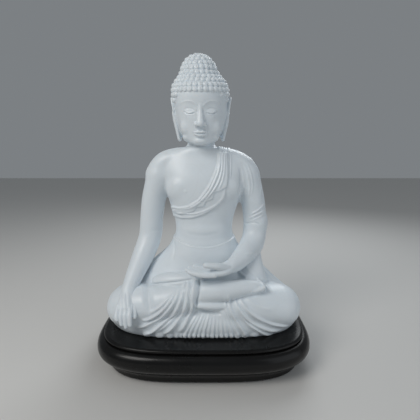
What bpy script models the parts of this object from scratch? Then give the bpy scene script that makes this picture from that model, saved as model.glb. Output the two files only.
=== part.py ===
"""A seated figure in the earth-touching posture, cast in sections, on a black lacquered wooden stand.

The figure is moulded as seven sections of white marble composite, pinned and bonded to each other: lap,
torso, head, two arms and two hands. It lifts straight up off two locating pegs in the stand. The stand is a
top board with a thick core, a mitred moulding frame round the core, and a foot board screwed on from below.

Front is -Y and up is +Z. The origin is the centre of the stand's underside. Lengths are in millimetres
until they reach Blender, where MM turns them into metres.
"""

import math

import bmesh
import bpy
from mathutils import Vector

MM = 0.001

# ---- driving dimensions, in millimetres ----
TOTAL_HEIGHT = 420.0
STAND_HEIGHT = 50.0
STAND_HALF_WIDTH = 140.0
STAND_HALF_DEPTH = 100.0
STAND_SQUARENESS = 3.5  # 2 is an ellipse, and larger values fill the corners
STAND_SIDES = 48
FOOT_HEIGHT = 2.5
GAP = 0.4  # between any two sections
HAND_GAP = 0.8  # round the hands, whose bed in the robe is eased
FIGURE_BASE = STAND_HEIGHT + GAP
HEAD_X = -3.5  # the head sits a little to the figure's right, and leans that way
TOPKNOT_X = HEAD_X - 3.0
PIN_SIDES = 12

WHITE = (0.83, 0.85, 0.86, 1.0)
BLACK = (0.012, 0.011, 0.011, 1.0)


# ---- scene and materials ----
def clear_scene():
    for old in list(bpy.data.objects):
        bpy.data.objects.remove(old, do_unlink=True)


def finish(name, colour, roughness, metallic=0.0):
    made = bpy.data.materials.new(name)
    made.use_nodes = True
    shader = made.node_tree.nodes["Principled BSDF"]
    shader.inputs["Base Color"].default_value = colour
    shader.inputs["Roughness"].default_value = roughness
    shader.inputs["Metallic"].default_value = metallic
    return made


def add_object(name, mesh, material):
    made = bpy.data.objects.new(name, mesh)
    bpy.context.scene.collection.objects.link(made)
    if material is not None:
        made.data.materials.append(material)
    return made


# ---- bodies lofted through rings of points ----
def body_from_rings(name, rings, material=None):
    """A closed body through rings of equal length, with a flat cap at each end."""
    shape = bmesh.new()
    loops = [[shape.verts.new(Vector(point) * MM) for point in ring] for ring in rings]
    count = len(rings[0])
    for lower, upper in zip(loops, loops[1:]):
        for i in range(count):
            j = (i + 1) % count
            shape.faces.new((lower[i], lower[j], upper[j], upper[i]))
    shape.faces.new(list(reversed(loops[0])))
    shape.faces.new(loops[-1])
    bmesh.ops.recalc_face_normals(shape, faces=shape.faces)
    mesh = bpy.data.meshes.new(name)
    shape.to_mesh(mesh)
    shape.free()
    mesh.shade_smooth()
    mesh.set_sharp_from_angle(angle=math.radians(40))
    return add_object(name, mesh, material)


def superellipse(centre_x, centre_y, half_x, half_y, z, squareness, sides):
    """A level outline, from an ellipse at squareness 2 towards a rectangle."""
    points = []
    for i in range(sides):
        angle = 2 * math.pi * i / sides
        c, s = math.cos(angle), math.sin(angle)
        x = math.copysign(abs(c) ** (2 / squareness), c)
        y = math.copysign(abs(s) ** (2 / squareness), s)
        points.append((centre_x + half_x * x, centre_y + half_y * y, z))
    return points


def between(rows, steps):
    """The rows with steps - 1 more between each pair, on a smooth curve through them all."""
    made = []
    for i in range(len(rows) - 1):
        before, a, b = rows[max(i - 1, 0)], rows[i], rows[i + 1]
        after = rows[min(i + 2, len(rows) - 1)]
        for k in range(steps):
            t = k / steps
            row = []
            for p, q, r, s in zip(before, a, b, after):
                curve = 2 * q + (r - p) * t + (2 * p - 5 * q + 4 * r - s) * t * t + (3 * q - p - 3 * r + s) * t**3
                row.append(curve / 2)
            made.append(row)
    return [*made, list(rows[-1])]


def stack(name, levels, sides, steps=2, grow=0.0, material=None):
    """A body of level outlines. A level is z, centre x, half width, front y, back y and squareness."""
    rows = between(levels, steps)
    rings = []
    for i, (z, x, half_width, front, back, squareness) in enumerate(rows):
        z += -grow if i == 0 else grow if i == len(rows) - 1 else 0.0
        half_depth = (back - front) / 2 + grow
        rings.append(superellipse(x, (front + back) / 2, half_width + grow, half_depth, z, squareness, sides))
    return body_from_rings(name, rings, material)


def limb(name, stations, sides, flat=(0, 0, 1), steps=3, tip=1.0, grow=0.0, material=None):
    """A rounded limb along its stations. A station is x, y, z, the radius across and the radius along flat.

    tip is how far the round ends reach, as a share of the radius there.
    """
    rows = between(stations, steps)
    points = [Vector(row[:3]) for row in rows]
    rings = []
    last = len(rows) - 1
    for i, row in enumerate(rows):
        along = (points[min(i + 1, last)] - points[max(i - 1, 0)]).normalized()
        across = along.cross(Vector(flat)).normalized()
        up = across.cross(along)
        wide, thick = row[3] + grow, row[4] + grow
        # An end is closed by rings that shrink towards a small flat cap.
        tucks = [(0.0, 1.0)]
        if i in (0, last):
            tucks = [(math.sin(a), math.cos(a)) for a in (0.0, 0.55, 1.05, 1.35)]
        if i == 0:
            tucks.reverse()
        for push, shrink in tucks:
            centre = points[i] + along * push * tip * min(wide, thick) * (1 if i else -1)
            ring = []
            for k in range(sides):
                angle = 2 * math.pi * k / sides
                offset = across * wide * math.cos(angle) + up * thick * math.sin(angle)
                ring.append(centre + offset * shrink)
            rings.append(ring)
    return body_from_rings(name, rings, material)


def peg(name, centre, radius, length, direction=(0, 0, 1), material=None):
    """A straight round pin."""
    turn = Vector((0, 0, 1)).rotation_difference(Vector(direction)).to_euler()
    bpy.ops.mesh.primitive_cylinder_add(
        vertices=PIN_SIDES,
        radius=radius * MM,
        depth=length * MM,
        location=Vector(centre) * MM,
        rotation=turn,
    )
    made = bpy.context.object
    made.name = name
    made.data.name = name
    if material is not None:
        made.data.materials.append(material)
    made.data.shade_smooth()
    made.data.set_sharp_from_angle(angle=math.radians(40))
    return made


def operate(target, other, operation):
    """A Boolean with a helper body, which is then left out of the render.

    Many of these bodies graze each other at a shallow angle, where the exact solver returns an empty mesh,
    so they use the manifold solver. Every body here is closed, as that solver needs.
    """
    other.hide_render = True
    other.display_type = "WIRE"
    step = target.modifiers.new(f"{operation.lower()} {other.name}", "BOOLEAN")
    step.operation = operation
    step.object = other
    step.solver = "MANIFOLD"


def fuse(target, *others):
    for other in others:
        operate(target, other, "UNION")
    return target


def cut(target, *cutters):
    for cutter in cutters:
        operate(target, cutter, "DIFFERENCE")
    return target


# ---- the figure's masses; grow swells a mass, to cut its socket in a neighbour ----
def mirrored(stations):
    return [(-x, *rest) for x, *rest in stations]


UPPER_ARM = [
    (-57, 7, 272, 16.5, 19),
    (-60.5, 7.5, 260, 19.5, 21.5),
    (-64.5, 8, 246, 18.5, 20.5),
    (-71, 9, 222, 17.5, 19),
    (-75, 10, 193, 17, 18),
]
RIGHT_FOREARM = [
    (-80, 8, 168, 17, 17.5),
    (-88, -6, 144, 16, 16),
    (-96, -28, 123, 13, 13),
    (-101, -46, 108, 10.5, 10),
]
LEFT_FOREARM = [
    (74, 6, 168, 17.5, 18),
    (67, -8, 156, 17, 17),
    (54, -30, 149, 14, 14),
    (42, -46, 143, 11.5, 10.5),
]


def right_arm(name, grow=0.0, material=None):
    stations = [*UPPER_ARM, *RIGHT_FOREARM]
    return limb(name, stations, 16, flat=(0, 1, 0), steps=2, tip=0.8, grow=grow, material=material)


def left_arm(name, grow=0.0, material=None):
    stations = [*mirrored(UPPER_ARM), *LEFT_FOREARM]
    return limb(name, stations, 16, flat=(0, 1, 0), steps=2, tip=0.8, grow=grow, material=material)


def right_hand_masses(name, grow=0.0, material=None):
    """The back of the hand, then four fingers and the thumb, hanging over the knee."""
    palm = [(-101.3, -50, 104, 9.5, 7), (-102, -60, 98, 11, 6.5), (-102, -70, 91, 10.5, 5.5)]
    masses = [limb(name, palm, 16, flat=(0, 1, -1), steps=2, grow=grow, material=material)]
    reach = (74, 71.5, 75, 82)  # each fingertip's height, from the index finger outwards
    for i, low in enumerate(reach):
        x = -94.2 - 5.2 * i
        finger = [(x, -68.5, 92.5, 3.5, 3.5), (x + 0.3, -77, 85, 3.3, 3.3), (x + 0.8, -80.5, low, 2.6, 2.6)]
        masses.append(limb(f"{name}_finger_{i + 1}", finger, 8, flat=(0, 1, 0), steps=2, grow=grow))
    thumb = [(-92.5, -57, 100, 4.2, 4.2), (-88.5, -67, 92, 3.8, 3.8), (-87.5, -74.5, 83, 2.9, 2.9)]
    masses.append(limb(f"{name}_thumb", thumb, 8, flat=(0, 1, 0), steps=2, grow=grow))
    return masses


def left_hand_masses(name, grow=0.0, material=None):
    """The upturned palm, then four fingers and the thumb, lying in the lap."""
    palm = [(38, -51, 141.5, 10, 7.5), (26, -57, 139.5, 14.5, 7.5), (10, -62, 139, 15.5, 6)]
    masses = [limb(name, palm, 16, flat=(0, 0, 1), steps=2, grow=grow, material=material)]
    reach = (-17, -20, -18, -12)  # each fingertip's x, from the index finger inwards
    for i, tip in enumerate(reach):
        y = -73.5 + 7.4 * i
        finger = [(12, y, 138.5, 4.6, 4.6), (-4, y + 0.5, 138.5, 4.3, 4.3), (tip, y + 2, 141, 3.4, 3.4)]
        masses.append(limb(f"{name}_finger_{i + 1}", finger, 8, flat=(0, 0, 1), steps=2, grow=grow))
    thumb = [(30, -62, 145, 6, 5.5), (18, -71, 149.5, 5, 4.8), (4, -74.5, 150.5, 3.6, 3.6)]
    masses.append(limb(f"{name}_thumb", thumb, 8, flat=(0, 0, 1), steps=2, grow=grow))
    return masses


def torso(name, grow=0.0, material=None):
    levels = [
        (112, 0, 48, -24, 46, 2.3),
        (135, 0, 52, -31, 46, 2.3),
        (152, 0, 49.5, -33, 45, 2.2),
        (163, 0, 46, -32, 43, 2.2),
        (177, 0, 41.5, -28, 42, 2.2),
        (192, 0, 42, -27, 43, 2.2),
        (208, 0, 46, -29, 45, 2.3),
        (225, 0, 51.5, -32.5, 47, 2.4),
        (240, 0, 55, -33, 48, 2.5),
        (256, 0, 59, -29, 47, 2.5),
        (269, -0.5, 63, -23.5, 43, 2.4),
        (280, -1, 62, -21, 38, 2.2),
        (288, -2, 54, -20.5, 33.5, 2.1),
        (292.5, -3, 44, -21, 30, 2.0),
        (296, -3.5, 33, -21, 27, 2.0),
        (298.5, -3.5, 25, -20.5, 25, 2.0),
    ]
    return stack(name, levels, 24, steps=1, grow=grow, material=material)


def neck(name, grow=0.0, material=None):
    stations = [(HEAD_X, 4, 288, 19.5, 20), (HEAD_X, 3.5, 300, 19, 20), (HEAD_X, 3, 318, 21.5, 24)]
    return limb(name, stations, 16, flat=(0, 1, 0), steps=2, tip=0.3, grow=grow, material=material)


def skull(name, material=None):
    """Level outlines from the chin to the crown, then the topknot. The face side is -Y."""
    levels = [
        (298.5, HEAD_X, 7, -31, -14, 2.0),
        (301, HEAD_X, 13.5, -35.5, -4, 2.0),
        (306, HEAD_X, 20, -38, 10, 2.0),
        (313, HEAD_X, 25.5, -39.3, 24, 2.1),
        (323, HEAD_X, 30, -40, 33, 2.2),
        (336, HEAD_X, 33.5, -40, 39.5, 2.2),
        (350, HEAD_X - 0.5, 35.5, -39.5, 43, 2.2),
        (364, HEAD_X - 1, 38, -38.5, 45, 2.2),
        (376, HEAD_X - 1, 38.5, -34.5, 44.5, 2.2),
        (386, HEAD_X - 1.5, 34.5, -26, 40, 2.1),
        (393, HEAD_X - 2, 28.5, -18, 34, 2.0),
        (400, TOPKNOT_X, 25, -15.5, 31, 2.0),
        (408, TOPKNOT_X, 20.5, -11, 26.5, 2.0),
        (414, TOPKNOT_X, 14.5, -5.5, 21, 2.0),
        (418, TOPKNOT_X, 8, 0, 15.5, 2.0),
        (TOTAL_HEIGHT, TOPKNOT_X, 2.5, 5, 10.5, 2.0),
    ]
    return stack(name, levels, 24, steps=1, material=material)


def ear(name, side):
    """A long ear on one side: side is -1 or 1."""
    stations = [
        (HEAD_X + side * 36, 8, 360, 6, 3.6),
        (HEAD_X + side * 37.5, 9, 349, 9.5, 4.2),
        (HEAD_X + side * 35.5, 7, 334, 8.5, 4.6),
        (HEAD_X + side * 32, 4.5, 318, 7.5, 4.6),
        (HEAD_X + side * 30.5, 3, 309, 7, 4.2),
    ]
    return limb(name, stations, 10, flat=(1, 0, 0), steps=1)


def lap_mass(name, material=None):
    levels = [
        (FIGURE_BASE, 0, 127, -71, 58, 3.0),
        (55, 0, 134, -74.5, 61, 3.0),
        (66, 0, 139.5, -76, 63, 2.9),
        (78, 0, 136, -73, 62, 2.8),
        (91, 0, 122, -64, 60, 2.6),
        (104, 0, 106, -50, 58, 2.4),
        (118, 0, 92, -36, 58, 2.2),
        (130, 0, 79, -28, 56, 2.1),
        (141, 0, 66, -22, 53, 2.0),
    ]
    return stack(name, levels, 48, steps=1, material=material)


def lap_folds():
    """The crossed shins, the sole on the far thigh, the folded robe on the near thigh and the fan of cloth."""
    right_shin = [
        (-104, -38, 80, 31, 29),
        (-66, -50, 90, 24, 24),
        (-30, -58, 103, 18, 19),
        (0, -61.5, 111.5, 13.5, 14.5),
        (30, -61, 112.5, 12.5, 13.5),
        (54, -57, 114, 10, 11.5),
        (72, -51, 117, 8, 9.5),
        (80, -47, 119, 6, 8.5),
    ]
    left_shin = [
        (104, -38, 80, 31, 29),
        (66, -50, 84, 25, 24),
        (34, -58, 90, 17, 17),
        (4, -63, 94, 11, 9.5),
        (-14, -62, 96, 8, 7),
    ]
    robe_roll = [(-66, -34, 113, 9, 8), (-42, -40, 120, 11, 9), (-16, -46, 124, 9, 8)]
    fan = [
        (FIGURE_BASE, 0, 54, -75.5, 0, 2.4),
        (58, 0, 50, -76.5, 0, 2.4),
        (74, 0, 33, -73, 0, 2.2),
        (92, 3, 15, -66, 0, 2.0),
        (98, 4, 10, -60, 0, 2.0),
    ]
    return [
        limb("right_shin_mass", right_shin, 16, flat=(0, 0, 1), steps=1),
        limb("left_shin_mass", left_shin, 16, flat=(0, 0, 1), steps=1),
        limb("robe_roll_mass", robe_roll, 12, flat=(0, 0, 1), steps=1),
        stack("robe_fan_mass", fan, 20, steps=1),
    ]


# ---- the pins and the pad ----
NECK_PIN = dict(centre=(HEAD_X, 3, 293), radius=4, length=36)
WAIST_PIN = dict(centre=(0, 12, 112), radius=6, length=44)
SHOULDER_PINS = [dict(centre=(side * 43, 6, 262), radius=3, length=34, direction=(1, 0, 0)) for side in (-1, 1)]
WRIST_PINS = [
    dict(centre=(-101.2, -48.5, 105.8), radius=2, length=16, direction=(-0.25, -0.78, -0.57)),
    dict(centre=(40, -48.5, 142), radius=2, length=16, direction=(-0.7, -0.7, -0.1)),
]
PEG_X, PEG_RADIUS, PEG_LENGTH = 60.0, 4.0, 24.0
PAD_HALF_WIDTH, PAD_HALF_DEPTH, PAD_THICKNESS = 112.0, 54.0, 1.2
PAD_Y = -5.0


def socket(name, pin):
    """A cutter a gap larger than the pin, all round and at both ends."""
    return peg(name, **{**pin, "radius": pin["radius"] + GAP, "length": pin["length"] + 2 * GAP})


def pad_outline(name, thickness, grow, low, material=None):
    rings = [
        superellipse(0, PAD_Y, PAD_HALF_WIDTH + grow, PAD_HALF_DEPTH + grow, z, 2.8, 40)
        for z in (low, low + thickness)
    ]
    return body_from_rings(name, rings, material)


# ---- the stand ----
def board(name, profile, material=None):
    """A board whose edge follows a profile of (offset from the stand's outline, z), upwards."""
    rings = [
        superellipse(0, 0, STAND_HALF_WIDTH + out, STAND_HALF_DEPTH + out, z, STAND_SQUARENESS, STAND_SIDES)
        for out, z in profile
    ]
    return body_from_rings(name, rings, material)


def half_round(out, low, high, bulge, steps):
    """Profile points of a rounded moulding edge between two heights."""
    middle, half = (low + high) / 2, (high - low) / 2
    points = []
    for k in range(steps + 1):
        angle = math.pi * (k / steps - 0.5)
        points.append((out + bulge * math.cos(angle), middle + half * math.sin(angle)))
    return points


CORE_OFFSET = -30.0
FRAME_LOW, FRAME_HIGH = 19.6, 44.2
FOOT_BOARD_TOP = FRAME_LOW - GAP


def top_board(material):
    core = board("top_board_core", [(CORE_OFFSET, FRAME_LOW), (CORE_OFFSET, 46)])
    edge = half_round(-1.2, FRAME_HIGH + GAP, 48.4, 1.6, 3)
    plate = board("top_board", [*edge, (-0.6, 49.4), (-1.8, STAND_HEIGHT)], material)
    return fuse(plate, core)


def moulding_frame(name, side, material):
    """One mitred length of the frame: the full ring, less everything outside its wedge."""
    outer = half_round(0.5, FRAME_LOW, FRAME_HIGH, 9.0, 7)
    length = board(name, [(-0.5, FRAME_LOW), *outer[1:-1], (-0.5, FRAME_HIGH)], material)
    inner = board(f"{name}_window", [(CORE_OFFSET + GAP, 10), (CORE_OFFSET + GAP, 60)])
    operate(length, inner, "DIFFERENCE")
    operate(length, mitre_wedge(f"{name}_wedge", side), "INTERSECT")
    return length


def mitre_wedge(name, side):
    """A triangular block from the centre out past two corners. side is a quarter turn count from the front."""
    corner = Vector((STAND_HALF_WIDTH - 22, STAND_HALF_DEPTH - 22))
    reach = 3.0
    signs = [(-1, -1), (1, -1), (1, 1), (-1, 1)]
    a, b = signs[side], signs[(side + 1) % 4]
    outward = Vector(((a[0] + b[0]) / 2, (a[1] + b[1]) / 2))
    start = outward * GAP
    first = Vector((corner.x * a[0], corner.y * a[1])) * reach + start
    second = Vector((corner.x * b[0], corner.y * b[1])) * reach + start
    rings = [[(start.x, start.y, z), (first.x, first.y, z), (second.x, second.y, z)] for z in (5, 65)]
    return body_from_rings(name, rings)


FRAME_SIDES = ("front", "right", "back", "left")
SCREW_PLACES = [(x, y) for y in (-45, 45) for x in (-85, 85)]
FOOT_PLACES = [(x, y) for y in (-62, 62) for x in (-108, 108)]
SCREW_LENGTH = 34.0
SCREW_LOW = FOOT_HEIGHT + 1.0


def screw(name, x, y, grow=0.0, material=None):
    """A countersunk wood screw, point up. Its drive slot faces down."""
    profile = [(4.2, 0.0), (4.2, 0.6), (1.9, 3.2), (1.9, SCREW_LENGTH - 4), (0.5, SCREW_LENGTH)]
    rings = []
    for i, (radius, rise) in enumerate(profile):
        low = -1.5 if grow and i == 0 else 0.0
        high = grow if i == len(profile) - 1 else 0.0
        rings.append(superellipse(x, y, radius + grow, radius + grow, SCREW_LOW + rise + low + high, 2, PIN_SIDES))
    made = body_from_rings(name, rings, material)
    if grow:
        return made
    slot = body_from_rings(
        f"{name}_slot",
        [[(x - 6, y - 0.5, z), (x + 6, y - 0.5, z), (x + 6, y + 0.5, z), (x - 6, y + 0.5, z)]
         for z in (SCREW_LOW - 1, SCREW_LOW + 1)],
    )
    return cut(made, slot)


def foot(name, x, y, material):
    rings = [superellipse(x, y, r, r, z, 2, 24) for r, z in ((8.2, 0), (9, 0.6), (9, FOOT_HEIGHT - GAP))]
    return body_from_rings(name, rings, material)


def stand(lacquer, steel, rubber, beech):
    plate = top_board(lacquer)
    frames = [moulding_frame(f"moulding_{word}", i, lacquer) for i, word in enumerate(FRAME_SIDES)]
    foot_profile = [
        (-7, FOOT_HEIGHT),
        (-5.5, FOOT_HEIGHT + 1.2),
        (-4.5, 9.5),
        (-1, 15.5),
        (2.2, 17.4),
        (2, FOOT_BOARD_TOP),
    ]
    foot_board = board("foot_board", foot_profile, lacquer)
    pieces = [plate, *frames, foot_board]
    for i, (x, y) in enumerate(SCREW_PLACES):
        pieces.append(screw(f"board_screw_{i + 1}", x, y, material=steel))
        cut(plate, screw(f"plate_pilot_{i + 1}", x, y, grow=GAP))
        cut(foot_board, screw(f"foot_pilot_{i + 1}", x, y, grow=GAP))
    for i, (x, y) in enumerate(FOOT_PLACES):
        pieces.append(foot(f"stand_foot_{i + 1}", x, y, rubber))
    for i, side in enumerate((-1, 1)):
        where = dict(centre=(side * PEG_X, 0, STAND_HEIGHT - 1), radius=PEG_RADIUS, length=PEG_LENGTH)
        pieces.append(peg(f"locating_peg_{i + 1}", **where, material=beech))
        cut(plate, socket(f"plate_socket_{i + 1}", where))
    return pieces


# ---- the figure ----
def figure(white, steel, felt):
    head = skull("head", white)
    fuse(head, neck("head_neck"), ear("right_ear_mass", -1), ear("left_ear_mass", 1))
    chest = torso("torso", material=white)
    lap = lap_mass("lap", white)
    fuse(lap, *lap_folds())
    arms = {"right": right_arm("right_arm", material=white), "left": left_arm("left_arm", material=white)}
    hand_makers = {"right": right_hand_masses, "left": left_hand_masses}
    arm_makers = {"right": right_arm, "left": left_arm}

    cut(chest, neck("neck_socket", grow=GAP))
    cut(lap, torso("torso_socket", grow=GAP))
    pieces = [head, chest, lap]
    for word in ("right", "left"):
        palm, *fingers = hand_makers[word](f"{word}_hand", material=white)
        fuse(palm, *fingers)
        cut(palm, arm_makers[word](f"{word}_cuff_socket", grow=GAP))
        cut(chest, arm_makers[word](f"{word}_armhole", grow=GAP))
        cut(lap, arm_makers[word](f"{word}_arm_rest", grow=GAP))
        cut(lap, *hand_makers[word](f"{word}_hand_rest", grow=HAND_GAP))
        pieces += [arms[word], palm]
    pins = [("neck_pin", NECK_PIN, [head, chest]), ("waist_pin", WAIST_PIN, [chest, lap])]
    for word, shoulder, wrist in zip(("right", "left"), SHOULDER_PINS, WRIST_PINS):
        hand = bpy.data.objects[f"{word}_hand"]
        pins.append((f"{word}_shoulder_pin", shoulder, [chest, arms[word]]))
        pins.append((f"{word}_wrist_pin", wrist, [arms[word], hand]))
    for name, pin, holders in pins:
        pieces.append(peg(name, **pin, material=steel))
        for holder in holders:
            cut(holder, socket(f"{name}_hole_{holder.name}", pin))

    pieces.append(pad_outline("felt_pad", PAD_THICKNESS - GAP, 0.0, FIGURE_BASE, felt))
    cut(lap, pad_outline("pad_recess", PAD_THICKNESS + 2, GAP, FIGURE_BASE - 2))
    for i, side in enumerate((-1, 1)):
        hole = dict(centre=(side * PEG_X, 0, STAND_HEIGHT - 1), radius=PEG_RADIUS, length=PEG_LENGTH)
        for holder in (lap, bpy.data.objects["felt_pad"]):
            cut(holder, socket(f"peg_socket_{i + 1}_{holder.name}", hole))
    return pieces


def gather(name, pieces):
    """Parents the pieces to an empty on the lift axis."""
    empty = bpy.data.objects.new(name, None)
    bpy.context.scene.collection.objects.link(empty)
    for piece in pieces:
        piece.parent = empty


def main():
    clear_scene()
    white = finish("white composite", WHITE, 0.42)
    lacquer = finish("black lacquer", BLACK, 0.22)
    steel = finish("steel", (0.55, 0.56, 0.58, 1.0), 0.35, metallic=1.0)
    rubber = finish("rubber", (0.03, 0.03, 0.03, 1.0), 0.8)
    beech = finish("beech", (0.62, 0.43, 0.26, 1.0), 0.6)
    felt = finish("felt", (0.03, 0.05, 0.04, 1.0), 0.95)
    gather("stand_body", stand(lacquer, steel, rubber, beech))
    gather("figure_body", figure(white, steel, felt))


main()
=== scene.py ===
# %% [markdown]
# # A seated figure on a black lacquered stand
# A figure in white marble composite sits cross-legged, with one hand reaching down to touch the earth, and
# lifts off two pegs in a wooden stand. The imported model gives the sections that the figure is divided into,
# their sizes and the bodies. This script gives them their finished surfaces: the robe, the curls, the face,
# the hands and the lacquer. Lengths are in millimetres until they reach a mesh.

# %% Load the frame
import math

import bmesh
import bpy
import numpy as np
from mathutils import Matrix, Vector
from mathutils.bvhtree import BVHTree


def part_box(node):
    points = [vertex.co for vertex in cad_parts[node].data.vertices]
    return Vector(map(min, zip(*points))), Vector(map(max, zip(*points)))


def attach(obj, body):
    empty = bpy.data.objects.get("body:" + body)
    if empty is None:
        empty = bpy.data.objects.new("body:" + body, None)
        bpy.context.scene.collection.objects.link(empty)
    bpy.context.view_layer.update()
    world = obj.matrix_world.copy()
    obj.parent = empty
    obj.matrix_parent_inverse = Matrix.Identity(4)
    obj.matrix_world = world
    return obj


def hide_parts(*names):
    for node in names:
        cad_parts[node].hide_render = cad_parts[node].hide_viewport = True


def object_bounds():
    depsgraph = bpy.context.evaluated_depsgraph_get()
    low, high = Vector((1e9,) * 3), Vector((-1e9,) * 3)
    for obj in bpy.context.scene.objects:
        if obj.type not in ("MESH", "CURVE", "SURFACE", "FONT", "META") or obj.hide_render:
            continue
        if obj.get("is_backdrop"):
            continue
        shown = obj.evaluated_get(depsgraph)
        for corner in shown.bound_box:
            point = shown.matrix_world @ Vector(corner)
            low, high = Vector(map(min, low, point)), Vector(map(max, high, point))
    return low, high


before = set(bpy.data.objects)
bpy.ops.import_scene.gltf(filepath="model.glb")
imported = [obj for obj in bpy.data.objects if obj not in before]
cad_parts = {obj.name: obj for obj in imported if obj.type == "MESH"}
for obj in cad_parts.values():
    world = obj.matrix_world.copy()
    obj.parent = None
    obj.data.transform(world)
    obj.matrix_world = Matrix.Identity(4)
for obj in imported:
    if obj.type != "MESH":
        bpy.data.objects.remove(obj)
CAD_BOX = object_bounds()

MM = 0.001

# %% [markdown]
# ## Camera, floor and light
# The camera is level with the figure's neck, close in front of it. It tips down by ten degrees and uses a
# fairly wide lens. The floor is plain and pale. One large soft lamp to the figure's right models the forms,
# a weaker one on the other side opens the shadows, and one behind edges the shoulders.

# %% Camera, floor and lamps
EYE = Vector((8, -469, 294))
VIEW_DOWN = math.radians(10)
LENS = 28.3


def new_object(name, data):
    made = bpy.data.objects.new(name, data)
    bpy.context.scene.collection.objects.link(made)
    return made


camera = new_object("camera", bpy.data.cameras.new("camera"))
camera.location = EYE * MM
camera.rotation_euler = (math.radians(90) - VIEW_DOWN, 0, 0)
camera.data.sensor_width = 36
camera.data.lens = LENS
camera.data.shift_x = 0.0012
camera.data.shift_y = -0.0048
camera.data.clip_start = 0.01
bpy.context.scene.camera = camera


def lamp(name, place, size, power, tint, target=(0, 0, 200)):
    """A square area lamp at a place, aimed at a target, both in millimetres."""
    made = new_object(name, bpy.data.lights.new(name, "AREA"))
    made.location = Vector(place) * MM
    made.rotation_euler = (Vector(target) - Vector(place)).to_track_quat("-Z", "Y").to_euler()
    made.data.size = size * MM
    made.data.energy = power
    made.data.color = tint


lamp("key_lamp", (-620, -620, 900), 520, 5.6, (1.0, 0.98, 0.95))
lamp("fill_lamp", (800, -560, 420), 900, 1.7, (0.90, 0.95, 1.0))
lamp("rim_lamp", (300, 700, 800), 600, 3.2, (0.93, 0.97, 1.0))

world = bpy.data.worlds.new("studio")
world.use_nodes = True
sky = world.node_tree.nodes["Background"].inputs
sky["Color"].default_value = (0.84, 0.90, 0.95, 1)
sky["Strength"].default_value = 0.24
bpy.context.scene.world = world
bpy.context.scene.view_settings.view_transform = "Standard"

bpy.ops.mesh.primitive_plane_add(size=6, location=(0, 0, 0))
floor = bpy.context.object
floor.name = "floor"
floor_paint = bpy.data.materials.new("floor_paint")
floor_paint.use_nodes = True
floor_look = floor_paint.node_tree.nodes["Principled BSDF"].inputs
floor_look["Base Color"].default_value = (0.66, 0.65, 0.63, 1)
floor_look["Roughness"].default_value = 0.7
floor.data.materials.append(floor_paint)
floor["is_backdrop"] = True
print("camera", round(camera.data.lens, 1), "mm lens")

# %% [markdown]
# ## Clay
# A carved figure starts as rough masses: stacked outlines for the trunk and the legs, tapered limbs for the
# arms and fingers, and balls for what is round. Primitives joined by hand leave hard seams, so the masses
# are joined and remade as one skin by a voxel Remesh modifier, and a Smooth modifier works the seams in, as
# a thumb does. A coarse skin first, smoothed a lot, gives wide soft joins. A fine one then holds the
# detail.

# %% Masses
def catmull(rows, steps):
    """The rows with steps - 1 more between each pair, on a smooth curve through them all."""
    rows = np.asarray(rows, float)
    made = []
    for i in range(len(rows) - 1):
        p, q, r = rows[max(i - 1, 0)], rows[i], rows[i + 1]
        s = rows[min(i + 2, len(rows) - 1)]
        for t in np.arange(steps) / steps:
            square, cube = (2 * p - 5 * q + 4 * r - s) * t**2, (3 * q - p - 3 * r + s) * t**3
            made.append((2 * q + (r - p) * t + square + cube) / 2)
    return np.array([*made, rows[-1]])


def from_bmesh(name, shape):
    mesh = bpy.data.meshes.new(name)
    shape.to_mesh(mesh)
    shape.free()
    return new_object(name, mesh)


def loft(name, rings):
    """A closed body through rings of equal length, with a flat cap at each end."""
    shape = bmesh.new()
    loops = [[shape.verts.new(Vector(point) * MM) for point in ring] for ring in rings]
    count = len(rings[0])
    for lower, upper in zip(loops, loops[1:]):
        for i in range(count):
            j = (i + 1) % count
            shape.faces.new((lower[i], lower[j], upper[j], upper[i]))
    shape.faces.new(list(reversed(loops[0])))
    shape.faces.new(loops[-1])
    bmesh.ops.recalc_face_normals(shape, faces=shape.faces)
    return from_bmesh(name, shape)


def outline(x, y, half_x, half_y, z, squareness, sides):
    """A level outline, from an ellipse at squareness 2 towards a rectangle."""
    turn = 2 * np.pi * np.arange(sides) / sides
    c, s = np.cos(turn), np.sin(turn)
    px = x + half_x * np.sign(c) * np.abs(c) ** (2 / squareness)
    py = y + half_y * np.sign(s) * np.abs(s) ** (2 / squareness)
    return np.column_stack([px, py, np.full(sides, float(z))])


def stack(name, levels, sides=72, steps=4):
    """A body of level outlines. A level is z, centre x, half width, front y, back y and squareness."""
    rings = []
    for z, x, half_width, front, back, squareness in catmull(levels, steps):
        rings.append(outline(x, (front + back) / 2, half_width, (back - front) / 2, z, squareness, sides))
    return loft(name, rings)


TUCKS = [0.0, 0.35, 0.7, 1.0, 1.25, 1.45]  # how far each ring of a rounded end is drawn in, in radians


def limb(name, stations, flat=(0, 0, 1), sides=24, steps=4, tip=1.0):
    """A rounded limb. A station is x, y, z, the radius across and the radius along flat."""
    rows = catmull(stations, steps)
    points = [Vector(row[:3]) for row in rows]
    rings = []
    last = len(rows) - 1
    for i, row in enumerate(rows):
        along = (points[min(i + 1, last)] - points[max(i - 1, 0)]).normalized()
        across = along.cross(Vector(flat)).normalized()
        up = across.cross(along)
        tucks = TUCKS[::-1] if i == 0 else TUCKS if i == last else [0.0]
        for tuck in tucks:
            reach = math.sin(tuck) * tip * min(row[3], row[4]) * (1 if i else -1)
            ring = []
            for k in range(sides):
                turn = 2 * math.pi * k / sides
                offset = across * row[3] * math.cos(turn) + up * row[4] * math.sin(turn)
                ring.append(points[i] + along * reach + offset * math.cos(tuck))
            rings.append(ring)
    return loft(name, rings)


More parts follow.
